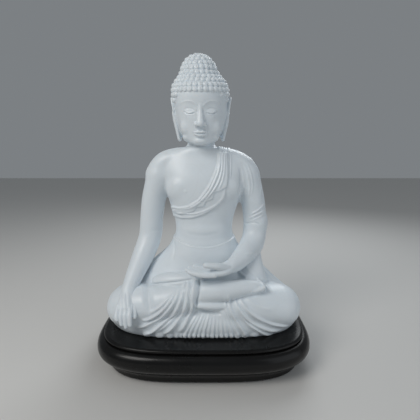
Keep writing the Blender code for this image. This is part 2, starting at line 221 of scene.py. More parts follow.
def ball(name, centre, radii, turn=(0, 0, 0)):
    """An egg with its own three radii, turned by degrees."""
    bpy.ops.mesh.primitive_uv_sphere_add(segments=32, ring_count=20, radius=1, location=Vector(centre) * MM)
    made = bpy.context.object
    made.name = name
    made.scale = Vector(radii) * MM
    made.rotation_euler = [math.radians(angle) for angle in turn]
    bpy.ops.object.transform_apply(location=True, rotation=True, scale=True)
    return made


def pick(*pieces):
    """Selects pieces and nothing else, and makes the first one active."""
    bpy.ops.object.select_all(action="DESELECT")
    for piece in pieces:
        piece.select_set(True)
    bpy.context.view_layer.objects.active = pieces[0]


def apply_modifier(piece, kind, **settings):
    step = piece.modifiers.new(kind.lower(), kind)
    for key, value in settings.items():
        setattr(step, key, value)
    bpy.context.view_layer.objects.active = piece
    bpy.ops.object.modifier_apply(modifier=step.name)


def knead(name, masses, voxel, rounds):
    """Joins masses into one skin of a voxel's fineness, smoothed over a number of rounds."""
    pick(*masses)
    if len(masses) > 1:
        bpy.ops.object.join()
    piece = masses[0]
    piece.name = piece.data.name = name
    apply_modifier(piece, "REMESH", mode="VOXEL", voxel_size=voxel * MM)
    if rounds:
        apply_modifier(piece, "SMOOTH", factor=0.5, iterations=rounds)
    return piece


print("clay helpers ready")

# %% [markdown]
# ## Carving
# Folds, creases, lids and lips are strokes. A stroke starts as a few points of a drawing on an upright
# sheet through the figure's middle, as the eye at the front sees it. Each point is carried along its line
# of sight to the clay, and the clay near that path is raised or sunk along its own normal. Where ridges
# meet, the higher one wins, so a fan of folds runs together without a lump. Two more eyes, at the sides,
# serve the ears.

# %% The carving tool
SIDES = {
    "front": (EYE, lambda a, z: Vector((a, 0, z))),
    "left": (Vector((900, 0, 230)), lambda a, z: Vector((0, a, z))),
    "right": (Vector((-900, 0, 230)), lambda a, z: Vector((0, a, z))),
}


SPACING = 0.6  # between the places along a path


def evened(path, rounds=4):
    """A path with its small kinks taken out."""
    for _ in range(rounds):
        path[1:-1] = (path[:-2] + 2 * path[1:-1] + path[2:]) / 4
    return path


class Clay:
    """The skin of one section while it is carved, with its points in millimetres."""

    def __init__(self, piece):
        self.piece = piece
        self.read()

    def read(self):
        mesh = self.piece.data
        count = len(mesh.vertices)
        flat = np.empty(count * 3, np.float32)
        mesh.vertices.foreach_get("co", flat)
        self.points = flat.reshape(-1, 3).astype(float) / MM
        mesh.vertex_normals.foreach_get("vector", flat)
        self.normals = flat.reshape(-1, 3).astype(float)
        self.raised = np.zeros(count)
        self.sunk = np.zeros(count)
        self.tree = BVHTree.FromObject(self.piece, bpy.context.evaluated_depsgraph_get())

    def trace(self, drawing, side="front"):
        """The path on the skin under a drawing of (across, up) points."""
        eye, sheet = SIDES[side]
        drawing = np.asarray(drawing, float)
        length = np.linalg.norm(np.diff(drawing, axis=0), axis=1).max()
        path = []
        for across, up in catmull(drawing, max(2, int(length / SPACING))):
            hit = self.tree.ray_cast(eye * MM, (sheet(across, up) - eye).normalized())
            if hit[0] is not None:
                path.append([*(hit[0] / MM), *hit[1]])
        if len(path) < 2:
            raise ValueError(f"a stroke on {self.piece.name} misses it: {drawing.tolist()}")
        return evened(np.array(path))

    def lay(self, places):
        """The path on the skin that lies nearest to a curve through places in space."""
        places = np.asarray(places, float)
        length = np.linalg.norm(np.diff(places, axis=0), axis=1).max()
        path = []
        for place in catmull(places, max(2, int(length / SPACING))):
            spot, normal, _, _ = self.tree.find_nearest(Vector(place) * MM)
            path.append([*(spot / MM), *normal])
        return evened(np.array(path))

    def near(self, path, reach):
        """The skin within reach of a path: indices, distances, signed sides and how far along from 0 to 1."""
        low, high = path[:, :3].min(0) - reach, path[:, :3].max(0) + reach
        chosen = np.flatnonzero(((self.points > low) & (self.points < high)).all(1))
        places = self.points[chosen]
        best = np.full(len(chosen), np.inf)
        nearest = np.zeros(len(chosen), int)
        for k, station in enumerate(path[:, :3]):
            distance = ((places - station) ** 2).sum(1)
            closer = distance < best
            best[closer] = distance[closer]
            nearest[closer] = k
        keep = (best < reach**2) & ((self.normals[chosen] * path[nearest, 3:]).sum(1) > 0.1)
        chosen, nearest, places = chosen[keep], nearest[keep], places[keep]
        tangents = np.gradient(path[:, :3], axis=0)
        tangents /= np.linalg.norm(tangents, axis=1)[:, None] + 1e-9
        offsets = places - path[nearest, :3]
        along = (offsets * tangents[nearest]).sum(1)
        across = offsets - along[:, None] * tangents[nearest]
        sideways = np.cross(path[nearest, 3:], tangents[nearest])
        signed = (across * sideways).sum(1)
        at_end = (nearest == 0) | (nearest == len(path) - 1)
        distance = np.where(at_end, np.sqrt(best[keep]), np.linalg.norm(across, axis=1))
        return chosen, distance, signed, nearest / (len(path) - 1)

    def push(self, chosen, amount):
        up = amount > 0
        self.raised[chosen[up]] = np.maximum(self.raised[chosen[up]], amount[up])
        self.sunk[chosen[~up]] = np.minimum(self.sunk[chosen[~up]], amount[~up])

    def stroke(self, drawing, height, width, side="front", lean=0.0, ends=(0.2, 0.2), path=None):
        """A ridge, or a groove where height is negative. lean from -1 to 1 steepens one flank."""
        if path is None:
            path = self.trace(drawing, side)
        chosen, distance, signed, along = self.near(path, width * (3 + 2 * abs(lean)))
        wide = width * np.where(signed > 0, 1 + lean, 1 - lean)
        profile = np.exp(-((distance / wide) ** 2))
        start, stop = (max(share, 1e-3) for share in ends)
        fade = np.clip(along / start, 0, 1) * np.clip((1 - along) / stop, 0, 1)
        self.push(chosen, height * profile * np.sin(fade * np.pi / 2) ** 1.2)

    def patch(self, drawing, height, soft=0.6):
        """A layer of cloth: the skin seen from the front inside a closed drawing stands up by height."""
        corners = np.asarray(drawing, float)
        away = self.points - np.array(EYE)
        share = -EYE.y / away[:, 1]
        flat = np.column_stack([EYE.x + away[:, 0] * share, EYE.z + away[:, 2] * share])
        low, high = corners.min(0) - soft, corners.max(0) + soft
        shows = (self.normals * away).sum(1) < -0.05 * np.linalg.norm(away, axis=1)
        chosen = np.flatnonzero(shows & ((flat > low) & (flat < high)).all(1))
        spots = flat[chosen]
        inside = np.zeros(len(chosen), bool)
        nearest = np.full(len(chosen), np.inf)
        for a, b in zip(corners, np.roll(corners, -1, axis=0)):
            crosses = (a[1] > spots[:, 1]) != (b[1] > spots[:, 1])
            at = a[0] + (b[0] - a[0]) * (spots[:, 1] - a[1]) / (b[1] - a[1] + 1e-12)
            inside ^= crosses & (spots[:, 0] < at)
            run = np.clip(((spots - a) @ (b - a)) / ((b - a) @ (b - a) + 1e-12), 0, 1)
            nearest = np.minimum(nearest, np.linalg.norm(spots - a - run[:, None] * (b - a), axis=1))
        depth = np.clip(0.5 + np.where(inside, nearest, -nearest) / (2 * soft), 0, 1)
        self.push(chosen, height * depth * depth * (3 - 2 * depth))

    def dent(self, centre, radius, depth):
        """A round hollow, or a bump where depth is negative, round a point in space."""
        distance = np.linalg.norm(self.points - np.array(centre), axis=1)
        chosen = np.flatnonzero(distance < radius * 2.5)
        self.push(chosen, -depth * np.exp(-((distance[chosen] / radius) ** 2)))

    def press(self, rounds=0):
        """Moves the skin by all strokes so far, and smooths it over a number of rounds."""
        self.points += self.normals * (self.raised + self.sunk)[:, None]
        mesh = self.piece.data
        mesh.vertices.foreach_set("co", (self.points * MM).astype(np.float32).ravel())
        mesh.update()
        if rounds:
            apply_modifier(self.piece, "SMOOTH", factor=0.5, iterations=rounds)
        self.read()


print("carving tool ready")

# %% [markdown]
# ## The robe and legs
# The lap section is the widest: two crossed shins under a robe that is folded back over the right thigh,
# falls in a fan of pleats between the shins, and spreads on the stand. Broad masses come first and are
# kneaded at a coarse grain. The bare shin, the foot and the roll of cloth are added to them before the fine
# skin is made.

# %% Lap masses
FIGURE_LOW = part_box("lap")[0].z / MM
WAIST_HIGH = 171.0

legs = [
    stack("seat", [
        (FIGURE_LOW - 3, 0, 125, -70, 58, 3.0),
        (54, 0, 132, -73, 61, 3.0),
        (66, 0, 138.5, -74.5, 63, 2.9),
        (78, 0, 135, -71, 62, 2.8),
        (91, 0, 121, -62, 60, 2.6),
        (104, 0, 106, -51, 57, 2.4),
        (118, 0, 92, -44, 55, 2.2),
        (130, 0, 78, -40, 52, 2.1),
        (141, 0, 65, -37.5, 49, 2.1),
        (152, 0, 54, -36, 46.5, 2.2),
        (162, 0, 47.5, -34.5, 45.5, 2.2),
        (WAIST_HIGH, 0, 44.8, -32.6, 44.2, 2.2),
    ]),
    limb("right_thigh", [(-104, -36, 80, 33, 30), (-66, -48, 89, 26, 25), (-30, -55, 98, 19, 20),
                         (-8, -56, 102, 15, 17)]),
    limb("left_thigh", [(104, -36, 80, 33, 30), (66, -47, 84, 27, 26), (36, -54, 84, 19, 20),
                        (6, -57, 80, 12, 12)]),
    limb("left_sleeve_drop", [(68, -6, 146, 15, 15), (67, -20, 130, 18, 15), (69, -33, 112, 21, 13),
                              (76, -40, 96, 24, 13)]),
]
legs = knead("legs", legs, 2.4, 9)
shin = limb("right_shin", [
    (-20, -56, 105, 15, 16.5),
    (4, -60.5, 109.5, 13.5, 15),
    (28, -61, 112, 12.5, 13.5),
    (50, -57.5, 113.5, 11, 11.5),
    (66, -54, 113.5, 10, 9.5),
    (75, -51.5, 113, 9, 7.5),
], sides=32)
toes = [
    limb(f"toe_{i}", [(62, -61.5 + 5 * i, 112 + 0.5 * i, 3.6, 3.6),
                      (72, -62 + 5 * i, 113.4 + 0.6 * i, 3.5, 3.4),
                      (79 - 1.2 * i, -61.5 + 5 * i, 116.5 + 0.5 * i, 2.9, 2.8)], sides=16)
    for i in range(5)
]
far_shin = limb("left_shin", [(30, -56, 92, 13, 9), (12, -64, 94, 10.5, 7), (-8, -66, 96, 9, 5.5)])
cloth_roll = limb("cloth_roll", [(-61, -38.5, 114.5, 11, 10.5), (-46, -43.5, 119, 12, 11),
                                 (-26, -48, 122, 11.5, 10.5), (-8, -49, 124, 9, 8.5)])


def front_at(x, out=0.0):
    """Where the lap's front stands at a distance across, just above the stand."""
    return -6 - (67 + out) * (1 - abs(x / 133) ** 3) ** (1 / 3)


HEM_LOOPS = [  # x, radius across, radius out
    (-72, 7.0, 2.6), (-57, 6.5, 3.2), (-44, 4.6, 3.2), (-35, 3.2, 2.8), (-29, 2.5, 2.6), (-23.5, 2.6, 3.0),
    (-18, 2.3, 2.6),
    (-12.5, 2.8, 3.2), (-6.5, 2.4, 2.6), (-0.5, 3.0, 3.4), (5.5, 2.4, 2.6), (11, 2.9, 3.2), (17, 2.5, 2.6),
    (23, 2.6, 3.0),
    (29.5, 3.0, 2.8), (36.5, 3.4, 3.0), (44.5, 4.2, 3.4), (54, 4.6, 3.0), (66, 7.0, 2.4),
]
loops = [
    limb(f"hem_loop_{i}", [(x * 0.97, front_at(x) + 2.6, 64, across * 0.7, out * 0.7),
                           (x, front_at(x) + 1.4, 57, across, out),
                           (x, front_at(x) + 1.2, 53.4, across, out)], flat=(0, 1, 0), sides=16)
    for i, (x, across, out) in enumerate(HEM_LOOPS)
]
lap_piece = knead("lap_robe", [legs, shin, *toes, far_shin, cloth_roll, *loops], 0.95, 2)
lap = Clay(lap_piece)
WAIST_SAG = 7


def waist_sag(x, y):
    """How much lower than at the hips the robe's waist hangs, which it does only at the front."""
    return WAIST_SAG * np.clip(1 - (x / 47) ** 2, 0, 1) * np.clip(-y / 30, 0, 1)


x, y, z = lap.points.T
lap.points[:, 2] = z - np.clip((z - 150) / (WAIST_HIGH - 150), 0, 1) * waist_sag(x, y)
lap.press(0)
print("lap skin:", len(lap.points), "points")

# %% [markdown]
# The folds follow how cloth hangs. From the right thigh they sweep down and out to the hand. From under the
# shin they fall to both sides. Between them hangs a fan of narrow pleats that ends in loops on the stand.

# %% Lap folds
RIGHT_FOLDS = [  # drawing, height, width
    ([(-13, 108), (-14.5, 95), (-17, 78), (-20, 56), (-28, 34), (-38, 16)], 4.2, 3.0),
    ([(-24, 100), (-25, 86), (-28, 64), (-37, 42), (-50, 24), (-64, 12)], 3.4, 2.7),
    ([(-31, 90), (-36, 70), (-46, 50), (-62, 33), (-80, 18), (-96, 12)], 3.0, 2.5),
    ([(-38, 89), (-44, 70), (-57, 52), (-73, 38), (-91, 28), (-106, 25)], 3.0, 2.4),
    ([(-43, 84), (-53, 66), (-67, 51), (-82, 41), (-97, 36)], 2.8, 2.3),
    ([(-50, 78), (-61, 65), (-73, 55), (-84, 49)], 1.8, 2.0),
    ([(-19, 92), (-22, 72), (-29, 50), (-42, 30), (-56, 15)], 1.6, 2.0),
    ([(-34, 60), (-47, 40), (-64, 24), (-82, 14)], 1.6, 2.0),
]
LEFT_FOLDS = [
    ([(36, 79), (38, 63), (44, 46), (53, 30), (61, 17), (64, 9)], 2.6, 2.4),
    ([(31, 76), (33, 60), (39, 41), (47, 23), (54, 9)], 1.6, 1.9),
    ([(44, 74), (53, 56), (65, 40), (81, 28), (101, 20), (120, 20)], 2.4, 2.6),
    ([(52, 77), (59, 63), (71, 49), (87, 38), (104, 31), (121, 28), (133, 28)], 2.4, 2.6),
    ([(56, 46), (66, 32), (79, 22), (94, 14), (110, 13)], 2.2, 2.4),
    ([(62, 76), (72, 66), (86, 58), (102, 54)], 0.9, 3.0),
]
for folds, lean in ((RIGHT_FOLDS, 0.25), (LEFT_FOLDS, -0.25)):
    for drawing, height, width in folds:
        lap.stroke(drawing, height * 1.15, width * 0.92, lean=lean, ends=(0.25, 0.2))

FAN_HIGH, FAN_LOW = 52, 8
for top, foot, swell in ((-7, -31, 1.7), (-3, -24, 1.6), (1, -16, 1.8), (5, -9, 1.5), (9, -2, 2.0),
                         (13, 5.5, 1.5),
                         (17, 13, 1.9), (21, 20, 1.6), (24, 27.5, 1.9), (27, 35, 1.6), (30, 43, 1.4)):
    drawing = [(top, FAN_HIGH), ((top * 0.65 + foot * 0.35), 38), ((top * 0.25 + foot * 0.75), 22),
               (foot, FAN_LOW)]
    lap.stroke(drawing, swell * 1.2, 2.2, ends=(0.55, 0.0))

LAP_CREASES = [  # drawing, height, width, fade at each end
    # A soft valley runs down beside the right hand.
    ([(-84, 102), (-86, 84), (-85, 64), (-80, 48)], -4.2, 5.0, (0.35, 0.35)),
    # The shin comes out of the robe at a turned-back edge, and presses into the thigh below it.
    ([(-7, 104), (-7.5, 92), (-9, 78), (-12, 64), (-12, 54)], -4.0, 1.7, (0.12, 0.2)),
    ([(-27, 104), (-27.5, 96), (-30, 86)], -1.6, 1.4, (0.3, 0.4)),
    ([(-8, 54), (4, 51), (16, 48), (27, 47)], -2.2, 1.5, (0.2, 0.2)),
    ([(-80, 95), (-62, 96), (-38, 99), (-14, 103)], -2.6, 1.6, (0.1, 0.3)),
    # Shallow creases run from the waist, over the thigh and round the left sleeve's end.
    ([(-44, 164), (-43.5, 148), (-47, 132)], -1.2, 2.4, (0.4, 0.5)),
    ([(88, 98), (97, 87), (107, 78)], 1.4, 2.6, (0.3, 0.4)),
    ([(84, 103), (94, 102), (104, 97)], 1.0, 2.2, (0.3, 0.4)),
    ([(46, 127), (49, 116), (54, 108), (62, 104)], -2.0, 1.5, (0.15, 0.3)),
    ([(50, 127), (53, 117), (58, 110), (66, 106)], 1.1, 1.5, (0.2, 0.4)),
    ([(62, 126), (70, 114), (82, 106)], 0.8, 2.4, (0.3, 0.5)),
]
for drawing, height, width, ends in LAP_CREASES:
    lap.stroke(drawing, height, width, ends=ends)

# Behind, the robe falls from the waist in long spreading folds. Round the foot of it runs a narrow hem.
for i, across in enumerate((-41, -33, -24, -15, -6, 4, 13, 22, 31, 40)):
    spread = across * (2.45 + 0.1 * (i % 3))
    fall = [(across, 48, 163), (across * 1.25, 56, 135), (across * 1.8, 66, 100), (spread, 72, 68)]
    lap.stroke(None, 1.5 + 0.7 * (i % 2), 2.6 + 0.5 * (i % 3), path=lap.lay(fall), ends=(0.3, 0.25))
for side in (-1, 1):
    for k in range(4):
        fall = [
            (side * 50, 22 - 8 * k, 158 - 4 * k),
            (side * (74 + 2 * k), 30 - 12 * k, 130 - 6 * k),
            (side * (108 + 3 * k), 30 - 14 * k, 98 - 8 * k),
            (side * (140 - 2 * k), 24 - 15 * k, 78 - 6 * k),
        ]
        lap.stroke(None, 1.6, 2.8 - 0.2 * k, path=lap.lay(fall), ends=(0.35, 0.35))


def oval(first, last, step, half_width, middle_y, half_depth):
    """Places on a level oval from one turn to another, in degrees."""
    turns = [math.radians(turn) for turn in range(first, last, step)]
    return [(half_width * math.cos(turn), middle_y + half_depth * math.sin(turn)) for turn in turns]


hem = [(x, y, 58) for x, y in oval(-28, 209, 8, 140, -5, 72)]
lap.stroke(None, 0.9, 1.3, path=lap.lay(hem), ends=(0.1, 0.1))
# A narrow raised hem runs round the waist.
hem = [(x, y, WAIST_HIGH - 2.6 - waist_sag(x, y)) for x, y in oval(0, 361, 9, 45, 5.8, 38.5)]
lap.stroke(None, 0.55, 1.1, path=lap.lay(hem), ends=(0, 0))
lap.press(1)
print("lap folds carved")

# %% [markdown]
# ## The trunk and the arms
# The right shoulder is bare and the robe covers the left one, so the trunk, both arms and the root of the
# neck are kneaded as one skin, which lets the shoulders flow. It is divided into sections afterwards.

# %% Trunk masses
HEAD_X = (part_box("neck_pin")[0].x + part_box("neck_pin")[1].x) / 2 / MM

UPPER_ARM = [(-56, 7, 272, 16.5, 19), (-60.5, 7.5, 260, 19.5, 21.5), (-64.5, 8, 246, 18.5, 20.5),
             (-71, 9, 222, 17.5, 19), (-75, 10, 193, 17, 18)]
RIGHT_FOREARM = [(-80, 8, 168, 17, 17.5), (-88, -6, 144, 16, 16), (-96, -28, 123, 13, 13),
                 (-101, -46, 108, 10.5, 10)]
LEFT_FOREARM = [(74, 6, 168, 17.5, 18), (67, -8, 156, 17, 17), (54, -30, 149, 14, 14),
                (42, -46, 143, 11.5, 10.5)]

RIGHT_PALM = [(-101.6, -55, 101.5, 10.2, 7.8), (-102, -63, 96.5, 11, 6.6), (-102, -71, 90.5, 10.3, 5.2)]
LEFT_PALM = [(33, -53, 141, 8, 12.5), (24, -58, 139.5, 7.2, 15), (11, -62, 139, 5.8, 15.5)]


def mirrored(stations):
    return [(-x, *rest) for x, *rest in stations]


RIGHT_REACH = [*[(x - 2.5, *rest) for x, *rest in UPPER_ARM], *RIGHT_FOREARM, *RIGHT_PALM]
LEFT_REACH = [*mirrored(UPPER_ARM), *LEFT_FOREARM, *LEFT_PALM]

trunk = [
    stack("chest", [
        (134, 0, 47, -31, 44, 2.3),
        (152, 0, 47, -32.5, 44, 2.2),
        (163, 0, 45.5, -32, 43, 2.2),
        (177, 0, 41.5, -28.5, 42, 2.2),
        (192, 0, 42, -27, 43, 2.2),
        (208, 0, 46, -28, 45, 2.3),
        (225, 0, 51, -31, 47, 2.4),
        (240, 0, 54.5, -31.5, 48, 2.5),
        (256, 0, 58.5, -29, 47, 2.5),
        (269, -0.5, 62.5, -24.5, 43, 2.4),
        (280, -1, 61, -21, 38, 2.2),
        (288, -2, 53, -19.5, 33.5, 2.1),
        (293, -3, 42, -20, 30, 2.0),
        (297, HEAD_X, 30, -20, 27, 2.0),
    ]),
    limb("neck_root", [(HEAD_X, 4, 285, 20.5, 21), (HEAD_X, 3.5, 300, 19, 19.5),
                       (HEAD_X, 3, 316, 19, 19.5)], flat=(0, 1, 0), tip=0.2),
    limb("right_arm_mass", RIGHT_REACH, flat=(0, 1, 0), tip=0.8),
    limb("left_arm_mass", LEFT_REACH, flat=(0, 1, 0), tip=0.8),
    ball("right_breast", (-25, -12.2, 240), (28, 17, 23), (12, 0, 0)),
    ball("left_breast", (25, -12.2, 240), (28, 17, 23), (12, 0, 0)),
    ball("belly", (0, -8, 180), (36, 22, 26)),
    limb("right_shoulder", [(-16, 6, 287, 17, 11.5), (-40, 7, 284, 20, 13), (-57, 7.5, 275.5, 20.5, 15.5),
                            (-67, 8, 259, 18.5, 17.5)]),
    limb("left_shoulder", [(14, 6, 286.5, 17, 11.5), (38, 7, 283, 20, 12.5), (54, 7.5, 274, 20.5, 14.5),
                           (63, 8, 257, 18, 17)]),
    ball("left_sleeve", (77, 9, 188), (17.5, 18.5, 26)),
]
trunk = knead("trunk", trunk, 2.2, 14)
# The head is kneaded with a copy of the neck's root, so that both sides of the neck seam have one shape.
neck_root = new_object("neck_root", trunk.data.copy())
pick(neck_root)
bpy.ops.object.mode_set(mode="EDIT")
bpy.ops.mesh.select_all(action="SELECT")
bpy.ops.mesh.bisect(plane_co=(0, 0, 0.289), plane_no=(0, 0, 1), clear_inner=True, use_fill=True)
bpy.ops.object.mode_set(mode="OBJECT")
trunk_piece = knead("torso_robe", [trunk], 0.8, 2)
body = Clay(trunk_piece)
print("trunk skin:", len(body.points), "points")

# %% [markdown]
# The robe's upper edge is turned over into a band that crosses from the left shoulder to the right flank.
# It is a bundle of long pleats between two rolled rims, and the end of the cloth is folded down over it in
# a zigzag.

# %% Robe band and sleeve
UPPER_RIM = [(19, 289), (19.5, 276), (14, 259), (5, 241), (-8, 224), (-22, 215), (-36, 212), (-49, 215)]
LOWER_RIM = [(31, 237), (26, 224), (14, 213), (0, 204), (-16, 198.5), (-33, 198), (-47, 203)]
HEM = [(33.5, 243), (22, 235), (19, 235.5), (14.5, 233), (12.5, 224), (3, 221), (-0.5, 213.5), (-11, 212),
       (-15, 206.5),
       (-25, 204), (-35, 203.5), (-46, 207)]

# Two layers of cloth: the band from rim to rim, and over it the folded end with its zigzag hem.
body.patch([*UPPER_RIM, *LOWER_RIM[::-1], (34, 262), (33, 290)], 1.3, 1.2)
body.press(0)
INNER_RIM = [(22, 290), (22.2, 276), (17, 257.5), (8, 238.5), (-5.5, 221), (-21, 211.5), (-36, 209),
             (-45, 210)]
body.patch([*INNER_RIM, *HEM[::-1], (33.8, 262), (33, 290)], 1.3, 0.6)
body.press(0)

BACK_UPPER = [(21, -4, 299), (22, 10, 297), (21, 25, 290), (17, 36, 278), (8, 44, 262), (-8, 47, 245),
              (-25, 45, 231), (-42, 38, 221), (-51, 20, 214)]
BACK_LOWER = [(35, 0, 295), (36, 14, 292), (34, 28, 284), (28, 38, 268), (16, 45, 248), (0, 47, 231),
              (-16, 46, 218), (-30, 42, 209), (-47, 20, 202)]


LONG_EVENING = 60  # rounds that take the steps of the cloth's edge out of a path along it


def robe_pleat(drawing, share, height, width, ends=(0.03, 0.05)):
    """A pleat on the front that goes on over the left shoulder and across the back, between its two rims."""
    front = body.trace(drawing)
    back = [np.array(a) * (1 - share) + np.array(b) * share for a, b in zip(BACK_UPPER, BACK_LOWER)]
    back = body.lay([front[0, :3], *back])
    path = evened(np.vstack([back[::-1], front[1:]]), LONG_EVENING)
    body.stroke(None, height, width, path=path, ends=ends)


robe_pleat([(x + 1.5, z - 1.3) for x, z in UPPER_RIM], 0.04, 1.9, 1.7, ends=(0.02, 0.02))
robe_pleat([(22.5, 288), (22, 268), (15.5, 250), (6.5, 233), (-6, 220), (-21, 211), (-44, 211)], 0.3, 1.7,
           1.3)
robe_pleat([(26, 287), (25.5, 266), (20, 247), (11, 233), (1, 222)], 0.5, 1.5, 1.2)
robe_pleat([(29.5, 286), (29, 264), (26, 249), (21, 238)], 0.72, 1.1, 1.2)
robe_pleat([(35, 284), (35, 266), (34.6, 248)], 0.9, 1.3, 1.0)
robe_pleat([(38, 283), (38, 266), (37.4, 252)], 1.0, 1.0, 1.0)
body.stroke(None, 1.8, 1.6, path=evened(body.trace(LOWER_RIM), LONG_EVENING), ends=(0.15, 0.02))
body.stroke([(30, 230), (20, 218.5), (5, 209), (-14, 203), (-44, 204.5)], 1.3, 1.1, ends=(0.2, 0.1))
body.stroke(None, 1.6, 1.6, path=body.lay([(x * 0.98, y, z - 3) for x, y, z in BACK_LOWER]),
            ends=(0.1, 0.02))
# Long folds fall from the left shoulder down the back, under the robe's edge.
for places in (
    [(40, 30, 272), (36, 42, 250), (26, 47, 225), (12, 48, 200), (2, 46, 180)],
    [(47, 24, 262), (45, 38, 238), (38, 46, 214), (28, 47, 192), (20, 45, 176)],
    [(20, 46, 240), (4, 48, 220), (-12, 47, 203), (-26, 43, 190)],
    [(52, 26, 240), (48, 36, 214), (42, 38, 190)],
):
    body.stroke(None, 1.4, 2.4, path=body.lay(places), ends=(0.3, 0.3), lean=0.2)
body.press(0)

# The sleeve hangs from the shoulder in long folds and gathers at the elbow.
for drawing, height, width in (
    ([(56, 274), (62, 258), (65, 242), (64, 226)], 1.5, 1.4),
    ([(60, 276), (66.5, 260), (69, 243), (67.5, 229)], 1.1, 1.2),
    ([(52, 270), (56, 252), (57.5, 238)], 1.0, 1.6),
    ([(90, 223), (81, 211), (66, 201)], 1.4, 1.4),
    ([(92, 216), (82, 205), (64, 196)], 1.5, 1.5),
    ([(90, 206), (80, 198), (70, 193)], 1.0, 1.4),
    ([(74, 266), (80, 248), (82, 230)], 0.6, 2.6),
):
    body.stroke(drawing, height, width, lean=0.25, ends=(0.35, 0.3))
body.stroke([(56, 186), (64, 189), (73, 189.5), (82, 187)], -1.1, 1.1, ends=(0.25, 0.25))
body.stroke([(60, 141.5), (67, 142.5), (75, 142)], 0.9, 1.2, ends=(0.3, 0.3))
for places in ([(72, 26, 262), (80, 26, 238), (84, 22, 214)], [(66, 28, 250), (74, 29, 224), (79, 27, 200)],
               [(88, 20, 205), (80, 28, 196), (70, 27, 190)], [(92, 8, 218), (88, 20, 210), (80, 27, 206)]):
    body.stroke(None, 1.3, 1.7, path=body.lay(places), ends=(0.35, 0.35))
# Armpits, elbow, and a soft line above the belly's curve.
body.stroke([(51, 270), (52, 256), (51, 240), (49, 226)], -1.6, 2.2, ends=(0.45, 0.1))
body.stroke([(-55, 258), (-55, 246), (-54, 236), (-53, 226)], -1.2, 2.2, ends=(0.6, 0.1))
body.stroke([(-77, 180), (-70, 178.5), (-63, 180)], -0.5, 1.8, ends=(0.3, 0.3))
body.stroke([(-36, 179), (-20, 173), (-4, 170.5), (12, 172), (30, 178)], -0.6, 2.8, ends=(0.35, 0.35))
right_nipple = body.trace([(-27, 235), (-26.6, 235)])[0]
body.dent(right_nipple[:3], 1.9, -0.8)
body.press(1)
print("robe band carved")

# %% [markdown]
# ## The head
# The head is designed upright and then bowed. Its plan is the plain one from drawing books: the eyes lie
# halfway between chin and crown, the face is five eyes wide, the nose ends halfway between brow and chin,
# and the mouth sits a third of the way below it. Masses give the planes, and strokes give brows, lids and
# lips. The grain is finer here than on the robe.

# %% Head masses
CHIN, CROWN = 301.0, 391.0
EYE_LINE = (CHIN + CROWN) / 2
BROW_LINE = EYE_LINE + 10
NOSE_BASE = (BROW_LINE + CHIN) / 2 - 0.5
MOUTH_LINE = NOSE_BASE - (NOSE_BASE - CHIN) / 3 + 0.5
EYE_APART, EYE_WIDE = 14.0, 13.5


def at_head(stations):
    return [(x + HEAD_X, *rest) for x, *rest in stations]


def both_ways(half):
    """Stations given from the head's middle outwards, completed on its other side."""
    return at_head([*mirrored(half[:0:-1]), *half])


def ear_masses(name, side):
    plate = ball(name, (HEAD_X - 0.8 + side * 37, 9, 345), (3.4, 9.2, 17), (-8, side * 5, 0))
    lobe = limb(f"{name}_lobe", at_head([
        (side * 37, 7, 342, 7.4, 3.0), (side * 35, 5.6, 331, 7.4, 3.2), (side * 32.4, 4.4, 319, 6.7, 3.2),
        (side * 30.2, 3.4, 308.5, 6.3, 2.9),
    ]), flat=(1, 0, 0))
    rim = limb(f"{name}_rim", at_head([
        (side * 37.5, 0.5, 347, 1.6, 1.6), (side * 39.2, 3, 358, 1.9, 1.9), (side * 39.8, 9, 363, 2.1, 2.1),
        (side * 39.6, 16, 359, 2.1, 2.1), (side * 38.6, 18.5, 347, 2.0, 2.0),
        (side * 36.4, 15, 335, 1.9, 1.9),
        (side * 34.4, 10.5, 324, 1.7, 1.7),
    ]), flat=(1, 0, 0), sides=12)
    return [plate, lobe, rim]


SKULL = [  # z, x from the head's middle, half width, front, back, squareness
    (CHIN, 0, 8, -32, -12, 2.0),
    (304, 0, 15, -35, -4, 2.0),
    (309, 0, 21, -36, 12, 2.0),
    (316, 0, 26, -36, 26, 2.1),
    (326, 0, 30.5, -36, 35, 2.2),
    (338, 0, 33.2, -36.5, 40, 2.2),
    (350, -0.3, 34.8, -37, 43, 2.2),
    (362, -0.7, 36.3, -37.5, 44.5, 2.2),
    (372, -1, 37, -36, 44, 2.2),
    (381, -1.4, 34.5, -31, 41, 2.15),
    (388, -1.8, 29, -22.5, 36, 2.1),
    (393, -2.3, 25.5, -17, 32, 2.0),
    (400, -2.9, 22.8, -14, 29.5, 2.0),
    (407, -3.1, 19.3, -10.5, 26, 2.0),
    (412.5, -3.2, 14.5, -5.5, 21, 2.0),
    (416.2, -3.2, 8, 1, 15, 2.0),
    (417.4, -3.2, 2.5, 5, 10.5, 2.0),
]


def pair(name, x, y, z, radii, turn=(0, 0, 0)):
    """A ball on each side of the head, the turns about y and z mirrored."""
    tilt, lean, twist = turn
    return [ball(f"{name}_{side}", (HEAD_X + side * x, y, z), radii,
                 (tilt, side * lean, side * twist)) for side in (-1, 1)]


head_masses = [
    stack("skull", [(z, HEAD_X + x, *rest) for z, x, *rest in SKULL]),
    neck_root,
    limb("neck", [(HEAD_X, 3.5, 300, 18.6, 19), (HEAD_X, 4, 308, 19.5, 20.5), (HEAD_X, 5, 322, 22, 25)],
         flat=(0, 1, 0), tip=0.2),
    ball("chin_ball", (HEAD_X, -30.5, CHIN + 6), (10.5, 7.5, 7)),
    *pair("cheek", 14, -23.6, 327, (13, 8.6, 13)),
    *pair("lobe_root", 29.5, 6, 322, (4.5, 6, 13), (0, 8, 0)),
    *pair("ear_root", 33, 8.5, 343, (5.5, 8.5, 16), (-8, 5, 0)),
    *pair("jaw", 15.5, -12, 312.5, (8.5, 17, 8.5), (0, 0, 14)),
]
head_base = knead("head_base", head_masses, 1.6, 13)

